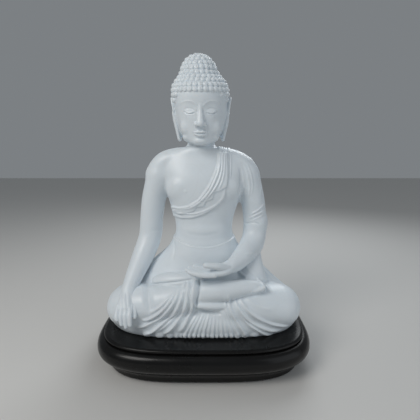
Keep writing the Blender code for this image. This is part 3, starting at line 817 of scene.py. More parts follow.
features = [
    limb("nose", at_head([
        (0, -34.6, BROW_LINE + 2, 4.6, 2.6), (0, -35.8, EYE_LINE + 1, 4.2, 3.4),
        (0, -38.2, NOSE_BASE + 9, 4.7, 4.2),
        (0, -40.2, NOSE_BASE + 4, 5.0, 4.2),
    ]), flat=(0, 1, 0)),
    *pair("nostril", 5.2, -37.2, NOSE_BASE + 3, (3.3, 4.0, 3.0)),
    limb("upper_lip", both_ways([
        (0, -37.8, MOUTH_LINE + 1.6, 2.2, 1.8), (2, -37.7, MOUTH_LINE + 2.1, 2.3, 1.9),
        (4.6, -36.8, MOUTH_LINE + 1.6, 2.0, 1.8), (8.6, -35.6, MOUTH_LINE + 0.6, 1.0, 1.0),
    ]), sides=16),
    limb("lower_lip", both_ways([
        (0, -37.6, MOUTH_LINE - 2.8, 2.6, 2.3), (3.6, -37.0, MOUTH_LINE - 2.3, 2.3, 2.0),
        (7.4, -35.8, MOUTH_LINE - 0.9, 1.2, 1.2),
    ]), sides=16),
    *ear_masses("right_ear", -1),
    *ear_masses("left_ear", 1),
]
head_piece = knead("head_skin", [head_base, *features], 0.62, 6)
head = Clay(head_piece)
print("head skin:", len(head.points), "points")


# %% Eyes, brows and lips
FACE_FRONT = -36.0


def on_face(points):
    """A drawing measured from the head's middle line, as the front eye sees the face's own depth."""
    share = -EYE.y / (FACE_FRONT - EYE.y)
    return [(EYE.x + (x + HEAD_X - EYE.x) * share, EYE.z + (z - EYE.z) * share) for x, z in points]


for side in (-1, 1):
    head.dent((HEAD_X + side * EYE_APART * 0.93, -37.5, EYE_LINE + 2.5), 8.5, 2.4)
    head.dent((HEAD_X + side * 5.2, -37, EYE_LINE + 1), 4.0, 1.2)
head.press(1)
for side in (-1, 1):
    head.dent((HEAD_X + side * EYE_APART, -33.6, EYE_LINE - 0.5), 6.6, -1.9)
head.press(1)
for side in (-1, 1):
    inner, outer = EYE_APART - EYE_WIDE / 2, EYE_APART + EYE_WIDE / 2
    slit = [(inner, EYE_LINE - 1.2), (inner + 3.5, EYE_LINE - 2.2), (EYE_APART, EYE_LINE - 2.9),
            (outer - 3.5, EYE_LINE - 2.3), (outer, EYE_LINE - 0.2)]
    fold = [(inner + 0.5, EYE_LINE + 1.8), (inner + 4, EYE_LINE + 3.8), (outer - 3, EYE_LINE + 3.6),
            (outer + 1, EYE_LINE + 1.2)]
    under = [(x, z - 2.6) for x, z in slit[1:-1]]
    lid = [(x, z + 1.25) for x, z in slit]
    brow = [(3.4, BROW_LINE - 3.5), (7, BROW_LINE + 0.8), (14, BROW_LINE + 3.2), (21.5, BROW_LINE + 1.4),
            (27, BROW_LINE - 3)]
    nose_wing = [(6.9, NOSE_BASE + 5.5), (8.2, NOSE_BASE + 2), (7.6, NOSE_BASE - 1)]
    mouth_corner = [(8.6, MOUTH_LINE + 1.4), (9.6, MOUTH_LINE - 1.2)]
    for drawing, height, width, lean, ends in (
        (slit, -1.15, 0.75, 0, (0.08, 0.08)), (lid, 0.55, 0.8, 0, (0.15, 0.15)),
        (fold, -0.55, 0.85, 0, (0.3, 0.3)),
        (under, -0.3, 1.0, 0, (0.3, 0.3)), (brow, 0.5, 1.0, -0.3, (0.12, 0.25)),
        (nose_wing, -0.45, 1.2, 0, (0.4, 0.5)), (mouth_corner, -0.7, 1.2, 0, (0.3, 0.3)),
    ):
        drawing = on_face([(side * x, z) for x, z in drawing])
        head.stroke(drawing, height, width, lean=lean * side, ends=ends)
    head.dent((HEAD_X + side * 2.5, -40.2, NOSE_BASE - 0.4), 1.1, 0.7)
    head.dent((HEAD_X + side * 40.2, 7.5, 349), 5.2, 2.4)
    head.dent((HEAD_X + side * 39.4, 6, 340), 3.4, 1.6)
    ear = "left" if side > 0 else "right"
    head.stroke([(4.5, 330), (4.0, 320), (3.4, 311)], -1.3, 1.3, side=ear, ends=(0.2, 0.2))
head.stroke(on_face([(-8.8, MOUTH_LINE + 0.7), (-4.4, MOUTH_LINE - 0.5), (0, MOUTH_LINE - 0.2),
                     (4.4, MOUTH_LINE - 0.5),
                     (8.8, MOUTH_LINE + 0.7)]), -1.0, 0.7, ends=(0.12, 0.12))
head.stroke(on_face([(0, NOSE_BASE - 1.0), (0, MOUTH_LINE + 3.6)]), -0.45, 1.2, ends=(0.1, 0.1))
head.stroke(on_face([(-5, MOUTH_LINE - 6.2), (0, MOUTH_LINE - 7.0), (5, MOUTH_LINE - 6.2)]), -0.6, 1.7,
            ends=(0.35, 0.35))
head.stroke([(-20, 300.5), (-10, 297.5), (-3, 296.5), (4, 297.5), (14, 300.5)], -0.6, 1.2, ends=(0.2, 0.2))
head.press(1)
print("face carved, eyes at", EYE_LINE, "mouth at", round(MOUTH_LINE, 1))

# %% [markdown]
# The hair is rows of snail-shell curls, each about seven millimetres across, over the cap and the topknot.
# Each curl is a dome with a spiral groove. They are raised out of the skin instead of being added as
# separate balls, so the finished head is one closed surface. Rows follow the skull at an
# even step, and each second row is shifted by half a curl.

# %% Curls
CURL_STEP, CURL_ROW, CURL_RADIUS, CURL_RISE = 6.7, 5.9, 3.65, 2.5
CURL_TURN, CURL_GROOVE = 1.9, 0.42


def hairline(turn):
    """The lowest height of the hair at a turn from the face, 0, round to the nape, 180 degrees."""
    return np.interp(turn, [0, 36, 58, 70, 84, 100, 118, 180], [367, 366, 361, 353, 351, 349, 329, 319])


def curl_places():
    profile = catmull([(z, HEAD_X + x, *rest) for z, x, *rest in SKULL], 8)
    places, travelled, row = [], 0.0, 0
    for before, level in zip(profile, profile[1:]):
        travelled += math.hypot(level[0] - before[0], level[2] - before[2])
        if level[0] < 318 or travelled < CURL_ROW:
            continue
        travelled, row = 0.0, row + 1
        z, x, half_width, front, back, squareness = level
        ring = outline(x, (front + back) / 2, half_width, (back - front) / 2, z, squareness, 720)
        steps = np.linalg.norm(np.diff(ring, axis=0, append=ring[:1]), axis=1)
        round_trip = steps.sum()
        count = max(1, round(round_trip / CURL_STEP))
        marks = (np.arange(count) + 0.5 * (row % 2)) * round_trip / count
        for mark in marks:
            spot = ring[min(np.searchsorted(np.cumsum(steps), mark), len(ring) - 1)]
            turn = abs(math.degrees(math.atan2(spot[0] - x, -(spot[1] - (front + back) / 2))))
            behind_ear = -6 < spot[1] < 21 and z < 362
            if z > hairline(turn) + 2.2 and not behind_ear:
                places.append(spot)
    places.append((HEAD_X - 3.2, 8, 418))
    return places


def raise_curls(clay, places):
    centres, outward = [], []
    for place in places:
        spot, normal, _, _ = clay.tree.find_nearest(Vector(place) * MM)
        centres.append(np.array(spot) / MM)
        outward.append(np.array(normal))
    centres, outward = np.array(centres), np.array(outward)
    high = np.flatnonzero(clay.points[:, 2] > 312)
    for part in np.array_split(high, 40):
        gaps = np.linalg.norm(clay.points[part][:, None, :] - centres[None], axis=2)
        nearest = gaps.argmin(1)
        distance = gaps[np.arange(len(part)), nearest]
        normal = outward[nearest]
        offset = clay.points[part] - centres[nearest]
        east = np.cross((0, 0, 1), normal)
        east /= np.linalg.norm(east, axis=1)[:, None] + 1e-9
        north = np.cross(normal, east)
        turn = np.arctan2((offset * north).sum(1), (offset * east).sum(1))
        hand = np.where(centres[nearest][:, 0] > HEAD_X, 1, -1)
        share = distance / CURL_RADIUS
        dome = CURL_RISE * np.sqrt(np.clip(1 - share**2, 0, 1))
        spiral = np.cos(hand * turn - 2 * np.pi * distance / CURL_TURN)
        groove = CURL_GROOVE * spiral * np.clip(1.15 - share, 0, 1) * (share < 1)
        close = distance < CURL_RADIUS
        clay.push(part[close], np.maximum(dome + groove, 0.01)[close])


places = curl_places()
raise_curls(head, places)
head.press(0)
print("curls:", len(places))

# %% Bow the head
BOW, BOW_LOW, BOW_HIGH = math.radians(7), 297.0, 322.0
BOW_Y, BOW_Z = 4, 310


def bow(points):
    """Turns the head forward about the top of the neck, the neck itself not at all."""
    share = np.clip((points[:, 2] - BOW_LOW) / (BOW_HIGH - BOW_LOW), 0, 1)
    angle = BOW * share * share * (3 - 2 * share)
    c, s = np.cos(angle), np.sin(angle)
    y, z = points[:, 1] - BOW_Y, points[:, 2] - BOW_Z
    return np.column_stack([points[:, 0], BOW_Y + y * c - z * s, BOW_Z + z * c + y * s])


head.points = bow(head.points)
head.press(0)
print("head bowed by", round(math.degrees(BOW)), "degrees, top at", round(head.points[:, 2].max(), 1))

# %% [markdown]
# ## The hands
# The right hand hangs over the knee with its back to the front. The left one lies palm up in the lap, its
# thumb along the top. Each starts from the same arm mass as the trunk, so that the wrists meet without a
# step.

# %% Hands
def finger(name, root, knuckle, tip, thick):
    """A finger of two bones, a little thicker at its knuckle and narrow at its end."""
    rows = [(*root, thick * 1.02, thick), (*knuckle, thick, thick * 0.98),
            (*tip, thick * 0.8, thick * 0.74)]
    hangs = abs(root[2] - tip[2]) > abs(root[0] - tip[0])
    return limb(name, rows, flat=(0, 1, 0) if hangs else (0, 0, 1), sides=16)


right_hand = knead("right_palm", [limb("right_palm_mass", RIGHT_REACH[4:], flat=(0, 1, 0), tip=0.8)], 2.0,
                   5)
right_fingers = []
for i, low in enumerate((73.5, 71, 74.5, 81)):
    x = -94.0 - 5.5 * i
    right_fingers.append(finger(f"right_finger_{i}", (x, -67.5, 94), (x - 0.2, -77.5, 85.5),
                                (x + 0.7, -80.2, low), 3.15))
right_fingers.append(finger("right_thumb", (-93, -57, 100), (-89.6, -66.5, 92.5), (-88.8, -74.5, 81.5),
                            3.6))
hand_piece = knead("right_hand_skin", [right_hand, *right_fingers], 0.6, 3)
hand = Clay(hand_piece)
for i in range(3):
    x = -96.75 - 5.5 * i
    hand.stroke([(x * 1.16 + 0.6, 84), (x * 1.16 + 0.6, 70), (x * 1.16 + 1, 52)], -0.55, 1.2,
                ends=(0.4, 0.1))
hand.press(1)

left_hand = knead("left_palm", [limb("left_palm_mass", LEFT_REACH[6:], flat=(0, 1, 0), tip=0.8)], 2.0, 5)
left_fingers = []
for i, far in enumerate((-17, -21, -18.5, -12)):
    y = -74 + 7.2 * i
    left_fingers.append(finger(f"left_finger_{i}", (14, y + 0.5, 138.2), (-3, y, 138.6),
                               (far, y + 1.5, 141.5), 3.9))
left_fingers.append(finger("left_thumb", (31, -63, 144), (17, -71.5, 149), (3, -75, 151.5), 4.6))
left_hand_piece = knead("left_hand_skin", [left_hand, *left_fingers], 0.6, 3)
print("hands:", len(hand_piece.data.polygons), len(left_hand_piece.data.polygons), "faces")

# %% [markdown]
# ## Dividing the figure
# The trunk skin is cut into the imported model's sections by planes at the armholes, the wrists and the neck.
# The mesh is opened along the plane only near the cut, the part beyond it is taken off, and every opening
# is capped.

# %% Divide
def cap(shape):
    """Closes every opening of a bmesh with a face."""
    rims = [edge for edge in shape.edges if edge.is_boundary]
    if rims:
        bmesh.ops.holes_fill(shape, edges=rims, sides=0)
    open_edges = [edge for edge in shape.edges if edge.is_boundary]
    if open_edges:
        bmesh.ops.triangle_fill(shape, edges=open_edges, use_beauty=True, use_dissolve=False)
    bmesh.ops.recalc_face_normals(shape, faces=shape.faces)


def divide(piece, cuts, name=None):
    """Cuts piece by planes, and takes off the part that the first plane's normal points to.

    A cut is a point, a normal and how far from the point the plane reaches, in millimetres. The part becomes
    an object of its own if it has a name.
    """
    shape = bmesh.new()
    shape.from_mesh(piece.data)
    for at, normal, near in cuts:
        at, normal = Vector(at) * MM, Vector(normal).normalized()
        faces = [f for f in shape.faces if (f.calc_center_median() - at).length < near * MM]
        geometry = list({*faces, *(e for f in faces for e in f.edges),
                         *(v for f in faces for v in f.verts)})
        cut = bmesh.ops.bisect_plane(shape, geom=geometry, dist=1e-7, plane_co=at,
                                     plane_no=normal)["geom_cut"]
        edges = [e for e in cut if isinstance(e, bmesh.types.BMEdge)]
        bmesh.ops.split_edges(shape, edges=edges)
    at, normal, near = Vector(cuts[0][0]) * MM, Vector(cuts[0][1]).normalized(), cuts[0][2]
    seeds = [f for f in shape.faces if (f.calc_center_median() - at).length < near * MM * 0.9
             and 2e-4 < (f.calc_center_median() - at).dot(normal) < 4e-3]
    taken = set(seeds)
    while seeds:
        face = seeds.pop()
        for edge in face.edges:
            for other in edge.link_faces:
                if other not in taken:
                    taken.add(other)
                    seeds.append(other)
    assert 0 < len(taken) < len(shape.faces), f"the cut of {piece.name} at {cuts[0][0]} doesn't part it"
    left = [f in taken for f in shape.faces]
    other_shape = shape.copy() if name else None
    bmesh.ops.delete(shape, geom=list(taken), context="FACES")
    cap(shape)
    shape.to_mesh(piece.data)
    shape.free()
    if not name:
        return None
    other_shape.faces.ensure_lookup_table()
    bmesh.ops.delete(other_shape, geom=[f for f, off in zip(other_shape.faces, left) if not off],
                     context="FACES")
    cap(other_shape)
    return from_bmesh(name, other_shape)


RIGHT_WRIST, RIGHT_WRIST_ALONG = (-99.9, -43.5, 109.6), (-0.2, -0.76, -0.62)
LEFT_WRIST, LEFT_WRIST_ALONG = (41, -47, 142.8), (-0.85, -0.5, -0.12)
ARMHOLE_X, NECK_SEAM, TORSO_LOW = 52.0, 298.6, 150.0

right_arm_piece = divide(trunk_piece, [((-ARMHOLE_X, 8, 250), (-1, 0, 0), 75)], "right_arm_skin")
left_arm_piece = divide(trunk_piece, [((ARMHOLE_X, 8, 250), (1, 0, 0), 60),
                                      ((44, -15, 158), (0.898, -0.44, 0), 45)],
                        "left_arm_skin")
divide(right_arm_piece, [(RIGHT_WRIST, RIGHT_WRIST_ALONG, 24)])
divide(left_arm_piece, [(LEFT_WRIST, LEFT_WRIST_ALONG, 24)])
divide(trunk_piece, [((HEAD_X, 4, NECK_SEAM), (0, 0, 1), 60)])
divide(trunk_piece, [((0, 5, TORSO_LOW), (0, 0, -1), 90)])
divide(hand_piece, [(RIGHT_WRIST, [-a for a in RIGHT_WRIST_ALONG], 24)])
divide(left_hand_piece, [(LEFT_WRIST, [-a for a in LEFT_WRIST_ALONG], 24)])
divide(head_piece, [((HEAD_X, 4, NECK_SEAM), (0, 0, -1), 32)])
divide(lap_piece, [((0, 0, FIGURE_LOW), (0, 0, -1), 400)])
print("sections divided")

# %% [markdown]
# ## The pad recess and the peg sockets
# The felt pad sits in a shallow recess under the lap, and the two pegs reach up into sockets beside it.
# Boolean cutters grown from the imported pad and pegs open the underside, which shows when the figure is
# lifted off.

# %% Underside
ROOM = 0.4
PEGS = ("locating_peg_1", "locating_peg_2")


def grown_copy(node, grow, stretch):
    """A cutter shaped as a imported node, larger all round by grow and lower by stretch, in millimetres."""
    low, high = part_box(node)
    middle = (low + high) / 2
    mesh = bpy.data.objects[node].data.copy()
    shape = bmesh.new()
    shape.from_mesh(mesh)
    bmesh.ops.remove_doubles(shape, verts=shape.verts, dist=1e-6)
    half = (high - low) / 2
    for vert in shape.verts:
        away = vert.co - middle
        vert.co = middle + Vector(away[k] * (half[k] + grow * MM) / half[k] for k in range(3))
        if away.z < 0:
            vert.co.z -= stretch * MM
    bmesh.ops.recalc_face_normals(shape, faces=shape.faces)
    shape.to_mesh(mesh)
    shape.free()
    return new_object(f"{node}_cutter", mesh)


def open_for(piece, node, stretch=0):
    """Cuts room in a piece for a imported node."""
    cutter = grown_copy(node, ROOM, stretch)
    apply_modifier(piece, "BOOLEAN", operation="DIFFERENCE", object=cutter, solver="EXACT")
    bpy.data.objects.remove(cutter)


open_for(lap_piece, "felt_pad", stretch=3)
for peg in PEGS:
    open_for(lap_piece, peg)
print("lap underside opened:", len(lap_piece.data.polygons), "faces")

# %% [markdown]
# ## Smooth shading, hollows and size
# Every skin is brought under two hundred thousand triangles. A number stored at each point says how hollow
# the surface is there, and another how much it stands out as an edge. On the white composite the folds and
# the gaps between curls stay duller, because the buffing wheel can't reach them, and are painted greyer as
# painted shade, while the edges are painted lighter as a painted highlight. On the lacquer the hollows gather
# dust and the edges show wear.

# %% Finish the skins
MOST_TRIANGLES = 190000


def slim(piece):
    triangles = sum(len(p.vertices) - 2 for p in piece.data.polygons)
    if triangles > MOST_TRIANGLES:
        apply_modifier(piece, "DECIMATE", ratio=MOST_TRIANGLES / triangles)


def shade(piece, edge):
    """Smooth shading, with edges sharper than an angle in degrees left sharp."""
    pick(piece)
    bpy.ops.object.shade_smooth_by_angle(angle=math.radians(edge))


def mark_hollows(piece, spread, strength):
    """Stores, from 0 to 1, how hollow the skin is round each point, and how much it stands out as an edge."""
    mesh = piece.data
    count = len(mesh.vertices)
    points = np.empty(count * 3, np.float32)
    mesh.vertices.foreach_get("co", points)
    points = points.reshape(-1, 3).astype(float) / MM
    normals = np.empty(count * 3, np.float32)
    mesh.vertex_normals.foreach_get("vector", normals)
    normals = normals.reshape(-1, 3).astype(float)
    ends = np.empty(len(mesh.edges) * 2, np.int32)
    mesh.edges.foreach_get("vertices", ends)
    ends = ends.reshape(-1, 2)
    degree = np.bincount(ends.ravel(), minlength=count).clip(1)
    away = points[ends[:, 1]] - points[ends[:, 0]]
    length = np.linalg.norm(away, axis=1) + 1e-6
    rise = np.zeros(count)
    np.add.at(rise, ends[:, 0], (away * normals[ends[:, 0]]).sum(1) / length)
    np.add.at(rise, ends[:, 1], -(away * normals[ends[:, 1]]).sum(1) / length)
    value = rise / degree
    total = np.zeros(count)
    for _ in range(spread):
        value = (np.bincount(ends[:, 0], weights=value[ends[:, 1]], minlength=count)
                 + np.bincount(ends[:, 1], weights=value[ends[:, 0]], minlength=count)) / degree
        total += value
    # The hollow number gives dust on the lacquer and painted shade on the white; the edge number gives wear
    # on the lacquer and a painted highlight on the white.
    for name, sign in (("hollow", 1), ("wear_and_highlight", -1)):
        value = np.clip(sign * total * strength, 0, 1).astype(np.float32)
        mesh.attributes.new(name, "FLOAT", "POINT").data.foreach_set("value", value)


SKINS = {
    "lap_robe": (lap_piece, "lap"), "torso_robe": (trunk_piece, "torso"), "head_skin": (head_piece, "head"),
    "right_arm_skin": (right_arm_piece, "right_arm"), "left_arm_skin": (left_arm_piece, "left_arm"),
    "right_hand_skin": (hand_piece, "right_hand"), "left_hand_skin": (left_hand_piece, "left_hand"),
}
for name, (piece, node) in SKINS.items():
    slim(piece)
    mark_hollows(piece, 10, 0.55)
    shade(piece, 50)
    print(name, len(piece.data.polygons), "faces")

# %% [markdown]
# ## The stand
# The stand is a turned-edge top board, a half-round moulding frame mitred at the corners, and a foot board
# with a cove. Each is its edge profile carried round one rounded-rectangle outline. An operator can't
# offset such an outline, so the rings are computed, and a bevel on the profile's own corners keeps the
# lacquered edges soft.

# %% Stand boards
STAND_HALF_WIDTH, STAND_HALF_DEPTH, STAND_SQUARENESS, STAND_SIDES = 140.0, 100.0, 3.5, 288
STAND_TOP, FRAME_LOW, FRAME_HIGH, CORE_OFFSET, SEAM = 50.0, 19.6, 44.2, -30.0, 0.4


def stand_ring(out, z):
    ring = outline(0, 0, STAND_HALF_WIDTH + out, STAND_HALF_DEPTH + out, z, STAND_SQUARENESS, 2880)
    steps = np.linalg.norm(np.diff(ring, axis=0, append=ring[:1]), axis=1)
    reached = np.concatenate([[0], np.cumsum(steps)])
    marks = np.arange(STAND_SIDES) * reached[-1] / STAND_SIDES
    closed = np.vstack([ring, ring[:1]])
    return np.column_stack([np.interp(marks, reached, closed[:, k]) for k in range(3)])


def board(name, profile):
    """A board whose edge follows a profile of (offset from the stand's outline, height), upwards."""
    return loft(name, [stand_ring(out, z) for out, z in profile])


def half_round(out, low, high, bulge, steps):
    turns = np.pi * (np.arange(steps + 1) / steps - 0.5)
    return [(out + bulge * math.cos(t), (low + high) / 2 + (high - low) / 2 * math.sin(t)) for t in turns]


top_edge = [(-0.9, FRAME_HIGH + SEAM), *half_round(-1.2, FRAME_HIGH + SEAM + 0.1, 49.2, 1.8, 10)[1:-1],
            (-1.3, 49.35), (-1.7, 49.7), (-2.3, 49.92), (-3.2, STAND_TOP)]
top_piece = board("top_board_lacquered", [(CORE_OFFSET, FRAME_LOW), (CORE_OFFSET, 43.9),
                                          (CORE_OFFSET + 0.6, FRAME_HIGH + SEAM),
                                          *top_edge])
foot_edge = catmull([(-6.2, 2.6), (-5.4, 3.6), (-5.0, 6.0), (-4.3, 9.8), (-2.7, 13.0), (-0.4, 15.6)],
                    4).tolist()
foot_piece = board("foot_board_lacquered", [(-7, 2.1), (-6.5, 2.2), *foot_edge, (1.2, 16.6), (1.9, 17.1),
                                            (2.2, 17.6),
                                            (2.2, 18.4), (1.9, 19.0), (1.3, FRAME_LOW - SEAM)])
print("boards made")

# %% [markdown]
# The frame is four lengths, each cut to a mitre that meets its neighbour at a corner with a hair's gap. The
# whole ring is made once and copied, and a bisect on each side of a copy leaves one length.

# %% Moulding frame
ring_profile = half_round(0.5, FRAME_LOW, FRAME_HIGH, 9.0, 20)
rings = [stand_ring(out, z) for out, z in [(CORE_OFFSET + SEAM, FRAME_LOW + 0.3),
                                           (CORE_OFFSET + SEAM + 0.3, FRAME_LOW), *ring_profile,
                                           (CORE_OFFSET + SEAM + 0.3, FRAME_HIGH),
                                           (CORE_OFFSET + SEAM, FRAME_HIGH - 0.3)]]
MITRE = Vector((118, 78, 0)).normalized()


def moulding(name, direction):
    """The length of the ring between the mitres on either side of a direction, front, right, back or left."""
    shape = bmesh.new()
    loops = [[shape.verts.new(Vector(point) * MM) for point in ring] for ring in rings]
    for lower, upper in zip(loops, [*loops[1:], loops[0]]):
        for i in range(STAND_SIDES):
            j = (i + 1) % STAND_SIDES
            shape.faces.new((lower[i], lower[j], upper[j], upper[i]))
    outward = Vector(direction)
    for across in (-1, 1):
        normal = Vector((-MITRE.y * across, MITRE.x, 0))
        if normal.dot(outward) > 0:
            normal = -normal
        start = outward * SEAM * MM / 2
        everything = [*shape.verts, *shape.edges, *shape.faces]
        bmesh.ops.bisect_plane(shape, geom=everything, dist=1e-7, plane_co=start, plane_no=normal,
                               clear_outer=True)
    cap(shape)
    return from_bmesh(name, shape)


FRAME_SIDES = {"front": (0, -1, 0), "right": (1, 0, 0), "back": (0, 1, 0), "left": (-1, 0, 0)}
mouldings = {f"moulding_{side}": moulding(f"moulding_{side}_lacquered", way) for side,
             way in FRAME_SIDES.items()}
for node, piece in mouldings.items():
    print(node, len(piece.data.polygons), "faces")

# %% [markdown]
# ## Feet, pad and bare edges
# Four rubber feet are short discs with a rounded rim, each made by inset and bevel. The felt pad
# is a thin sheet cut to the lap's outline, with its two peg holes, and its rim is a little furry rather
# than sharp.

# %% Feet and felt
FOOT_RADIUS, FOOT_HIGH = 0.009, 0.0017


def foot(name, centre):
    bpy.ops.object.select_all(action="DESELECT")
    place = (centre.x, centre.y, FOOT_HIGH / 2)
    bpy.ops.mesh.primitive_cylinder_add(vertices=64, radius=FOOT_RADIUS, depth=FOOT_HIGH, location=place)
    made = bpy.context.object
    made.name = name
    bpy.ops.object.mode_set(mode="EDIT")
    bpy.ops.mesh.select_all(action="SELECT")
    bpy.ops.mesh.bevel(offset=0.0006, segments=4, affect="EDGES")
    bpy.ops.object.mode_set(mode="OBJECT")
    shape = bmesh.new()
    shape.from_mesh(made.data)
    under = [f for f in shape.faces if f.normal.z < -0.99 and f.calc_area() > 1e-5]
    bmesh.ops.inset_region(shape, faces=under, thickness=0.0016, depth=-0.0002)
    shape.to_mesh(made.data)
    shape.free()
    bpy.ops.object.transform_apply(location=True, rotation=True, scale=True)
    return made


feet = {}
for i in range(1, 5):
    low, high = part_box(f"stand_foot_{i}")
    feet[f"stand_foot_{i}"] = foot(f"rubber_foot_{i}", (low + high) / 2)

pad_low, pad_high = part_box("felt_pad")
pad_middle, pad_half = (pad_low + pad_high) / 2 / MM, (pad_high - pad_low) / 2 / MM
pad_levels = [(pad_low.z / MM, -0.5), (pad_low.z / MM + 0.2, -0.1), (pad_low.z / MM + 0.55, 0),
              (pad_high.z / MM, -0.35)]
pad_piece = loft("felt_sheet", [
    outline(pad_middle.x, pad_middle.y, pad_half.x + grow, pad_half.y + grow, z, 2.8, 160) for z,
    grow in pad_levels
])
for peg in PEGS:
    open_for(pad_piece, peg)

STAND = {"top_board": top_piece, "foot_board": foot_piece, **mouldings, **feet}
for node, piece in {**STAND, "felt_pad": pad_piece}.items():
    mark_hollows(piece, 1, 1.0)
    shade(piece, 40)
print("feet and pad made")

# %% [markdown]
# ## Shared finish effects
# Three effects serve several finishes, so each is a node group with its own sockets: a fine two-scale
# grain, a soft cloudiness, and long fibres for wood and felt. They read Object coordinates, which are
# metres here, so a scale of 1000 gives a grain of about a millimetre.

# %% Node groups
def group(name, inputs, outputs):
    made = bpy.data.node_groups.new(name, "ShaderNodeTree")
    for label, value in inputs.items():
        kind = "NodeSocketVector" if isinstance(value, tuple) else "NodeSocketFloat"
        made.interface.new_socket(name=label, in_out="INPUT", socket_type=kind).default_value = value
    for label in outputs:
        made.interface.new_socket(name=label, in_out="OUTPUT", socket_type="NodeSocketFloat")
    return made, made.nodes.new("NodeGroupInput"), made.nodes.new("NodeGroupOutput")


def feed(tree, sockets, sources):
    """Joins input sockets, by name or number, to other sockets, or sets them to values."""
    for label, source in sources.items():
        if isinstance(source, bpy.types.NodeSocket):
            tree.links.new(source, sockets[label])
        else:
            sockets[label].default_value = source


def node(tree, kind, sources=None, **settings):
    """A node with its settings and its inputs."""
    made = tree.nodes.new(kind)
    for key, value in settings.items():
        setattr(made, key, value)
    feed(tree, made.inputs, sources or {})
    return made


def noise(tree, vector, scale, detail, rough):
    sources = {"Vector": vector, "Scale": scale, "Detail": detail, "Roughness": rough}
    return node(tree, "ShaderNodeTexNoise", sources).outputs["Fac"]


def ramp(tree, value, low, high, out_low=0.0, out_high=1.0):
    """A smooth step of a value from one pair of limits to another."""
    sources = {"Value": value, "From Min": low, "From Max": high, "To Min": out_low, "To Max": out_high}
    return node(tree, "ShaderNodeMapRange", sources, interpolation_type="SMOOTHSTEP").outputs["Result"]


def work(tree, operation, a, b):
    return node(tree, "ShaderNodeMath", {0: a, 1: b}, operation=operation).outputs[0]


def times(tree, a, b):
    return work(tree, "MULTIPLY", a, b)


grain_group, source, sink = group("fine_grain", {"Vector": (0.0, 0.0, 0.0), "Scale": 1200.0},
                                  ["Height", "Specks"])
fine = noise(grain_group, source.outputs["Vector"], source.outputs["Scale"], 3, 0.6)
coarse_scale = times(grain_group, source.outputs["Scale"], 0.22)
coarse = noise(grain_group, source.outputs["Vector"], coarse_scale, 2, 0.5)
height = work(grain_group, "ADD", times(grain_group, fine, 0.6), times(grain_group, coarse, 0.9))
grain_group.links.new(height, sink.inputs["Height"])
grain_group.links.new(ramp(grain_group, fine, 0.63, 0.72), sink.inputs["Specks"])

cloud_group, source, sink = group("clouding", {"Vector": (0.0, 0.0, 0.0), "Scale": 14.0, "Warp": 0.4},
                                  ["Cloud", "Vein"])
warp = node(cloud_group, "ShaderNodeTexNoise", {"Vector": source.outputs["Vector"],
                                                "Scale": source.outputs["Scale"],
                                               "Detail": 3.0, "Distortion": source.outputs["Warp"]})
cloud_group.links.new(warp.outputs["Fac"], sink.inputs["Cloud"])
middle = work(cloud_group, "ABSOLUTE", work(cloud_group, "SUBTRACT", warp.outputs["Fac"], 0.5), 0.0)
cloud_group.links.new(ramp(cloud_group, middle, 0.0, 0.035, 1.0, 0.0), sink.inputs["Vein"])

fibre_group, source, sink = group("fibres", {"Vector": (0.0, 0.0, 0.0), "Across": 900.0, "Along": 40.0},
                                  ["Fibre", "Bands"])
stretch = node(fibre_group, "ShaderNodeCombineXYZ",
               {"X": source.outputs["Along"], "Y": source.outputs["Across"],
                                                     "Z": source.outputs["Across"]})
scaled = node(fibre_group, "ShaderNodeVectorMath", {0: source.outputs["Vector"], 1: stretch.outputs[0]},
              operation="MULTIPLY")
fibre_group.links.new(noise(fibre_group, scaled.outputs[0], 1.0, 4, 0.6), sink.inputs["Fibre"])
fibre_group.links.new(noise(fibre_group, scaled.outputs[0], 0.12, 2, 0.5), sink.inputs["Bands"])
print("node groups:", [g.name for g in (grain_group, cloud_group, fibre_group)])

# %% [markdown]
# ## White marble composite
# Marble dust in resin, cast, rubbed down and left satin. It is a white that lets a little light in, faintly
# clouded, with tiny specks of the filler, and its colour carries a cool blue tint of painted sky light. Folds
# that the buffing wheel misses stay duller, and are painted a touch greyer as painted shade; the edges are
# painted lighter as a painted highlight.

# %% White composite
def finish(name, **plain):
    """A new material, its tree and its Principled shader, with plain values set on the shader."""
    made = bpy.data.materials.new(name)
    made.use_nodes = True
    shader = made.node_tree.nodes["Principled BSDF"]
    for label, value in plain.items():
        shader.inputs[label.replace("_", " ")].default_value = value
    return made, made.node_tree, shader


def place_group(tree, kind, **inputs):
    place = node(tree, "ShaderNodeTexCoord").outputs["Object"]
    return node(tree, "ShaderNodeGroup", {"Vector": place, **inputs}, node_tree=kind)


MIX_FACTOR, MIX_A, MIX_B, MIX_RESULT = 0, 6, 7, 2  # the numbers of the Mix node's colour sockets


def tint(tree, share, base, other):
    """A colour between two, by a share that varies over the surface."""
    sources = {MIX_FACTOR: share}
    for label, colour in ((MIX_A, base), (MIX_B, other)):
        sources[label] = colour if isinstance(colour, bpy.types.NodeSocket) else (*colour, 1)
    return node(tree, "ShaderNodeMix", sources, data_type="RGBA").outputs[MIX_RESULT]


def stored(tree, name, strength):
    """The hollow number, or the edge number for wear and painted highlight, that each point of a skin stores,
    times a strength.
    """
    return times(tree, node(tree, "ShaderNodeAttribute", attribute_name=name).outputs["Fac"], strength)


def drive(tree, shader, **sources):
    feed(tree, shader.inputs, {label.replace("_", " "): source for label, source in sources.items()})


def bump(tree, shader, height, strength, distance):
    made = node(tree, "ShaderNodeBump", {"Height": height, "Strength": strength, "Distance": distance})
    tree.links.new(made.outputs["Normal"], shader.inputs["Normal"])


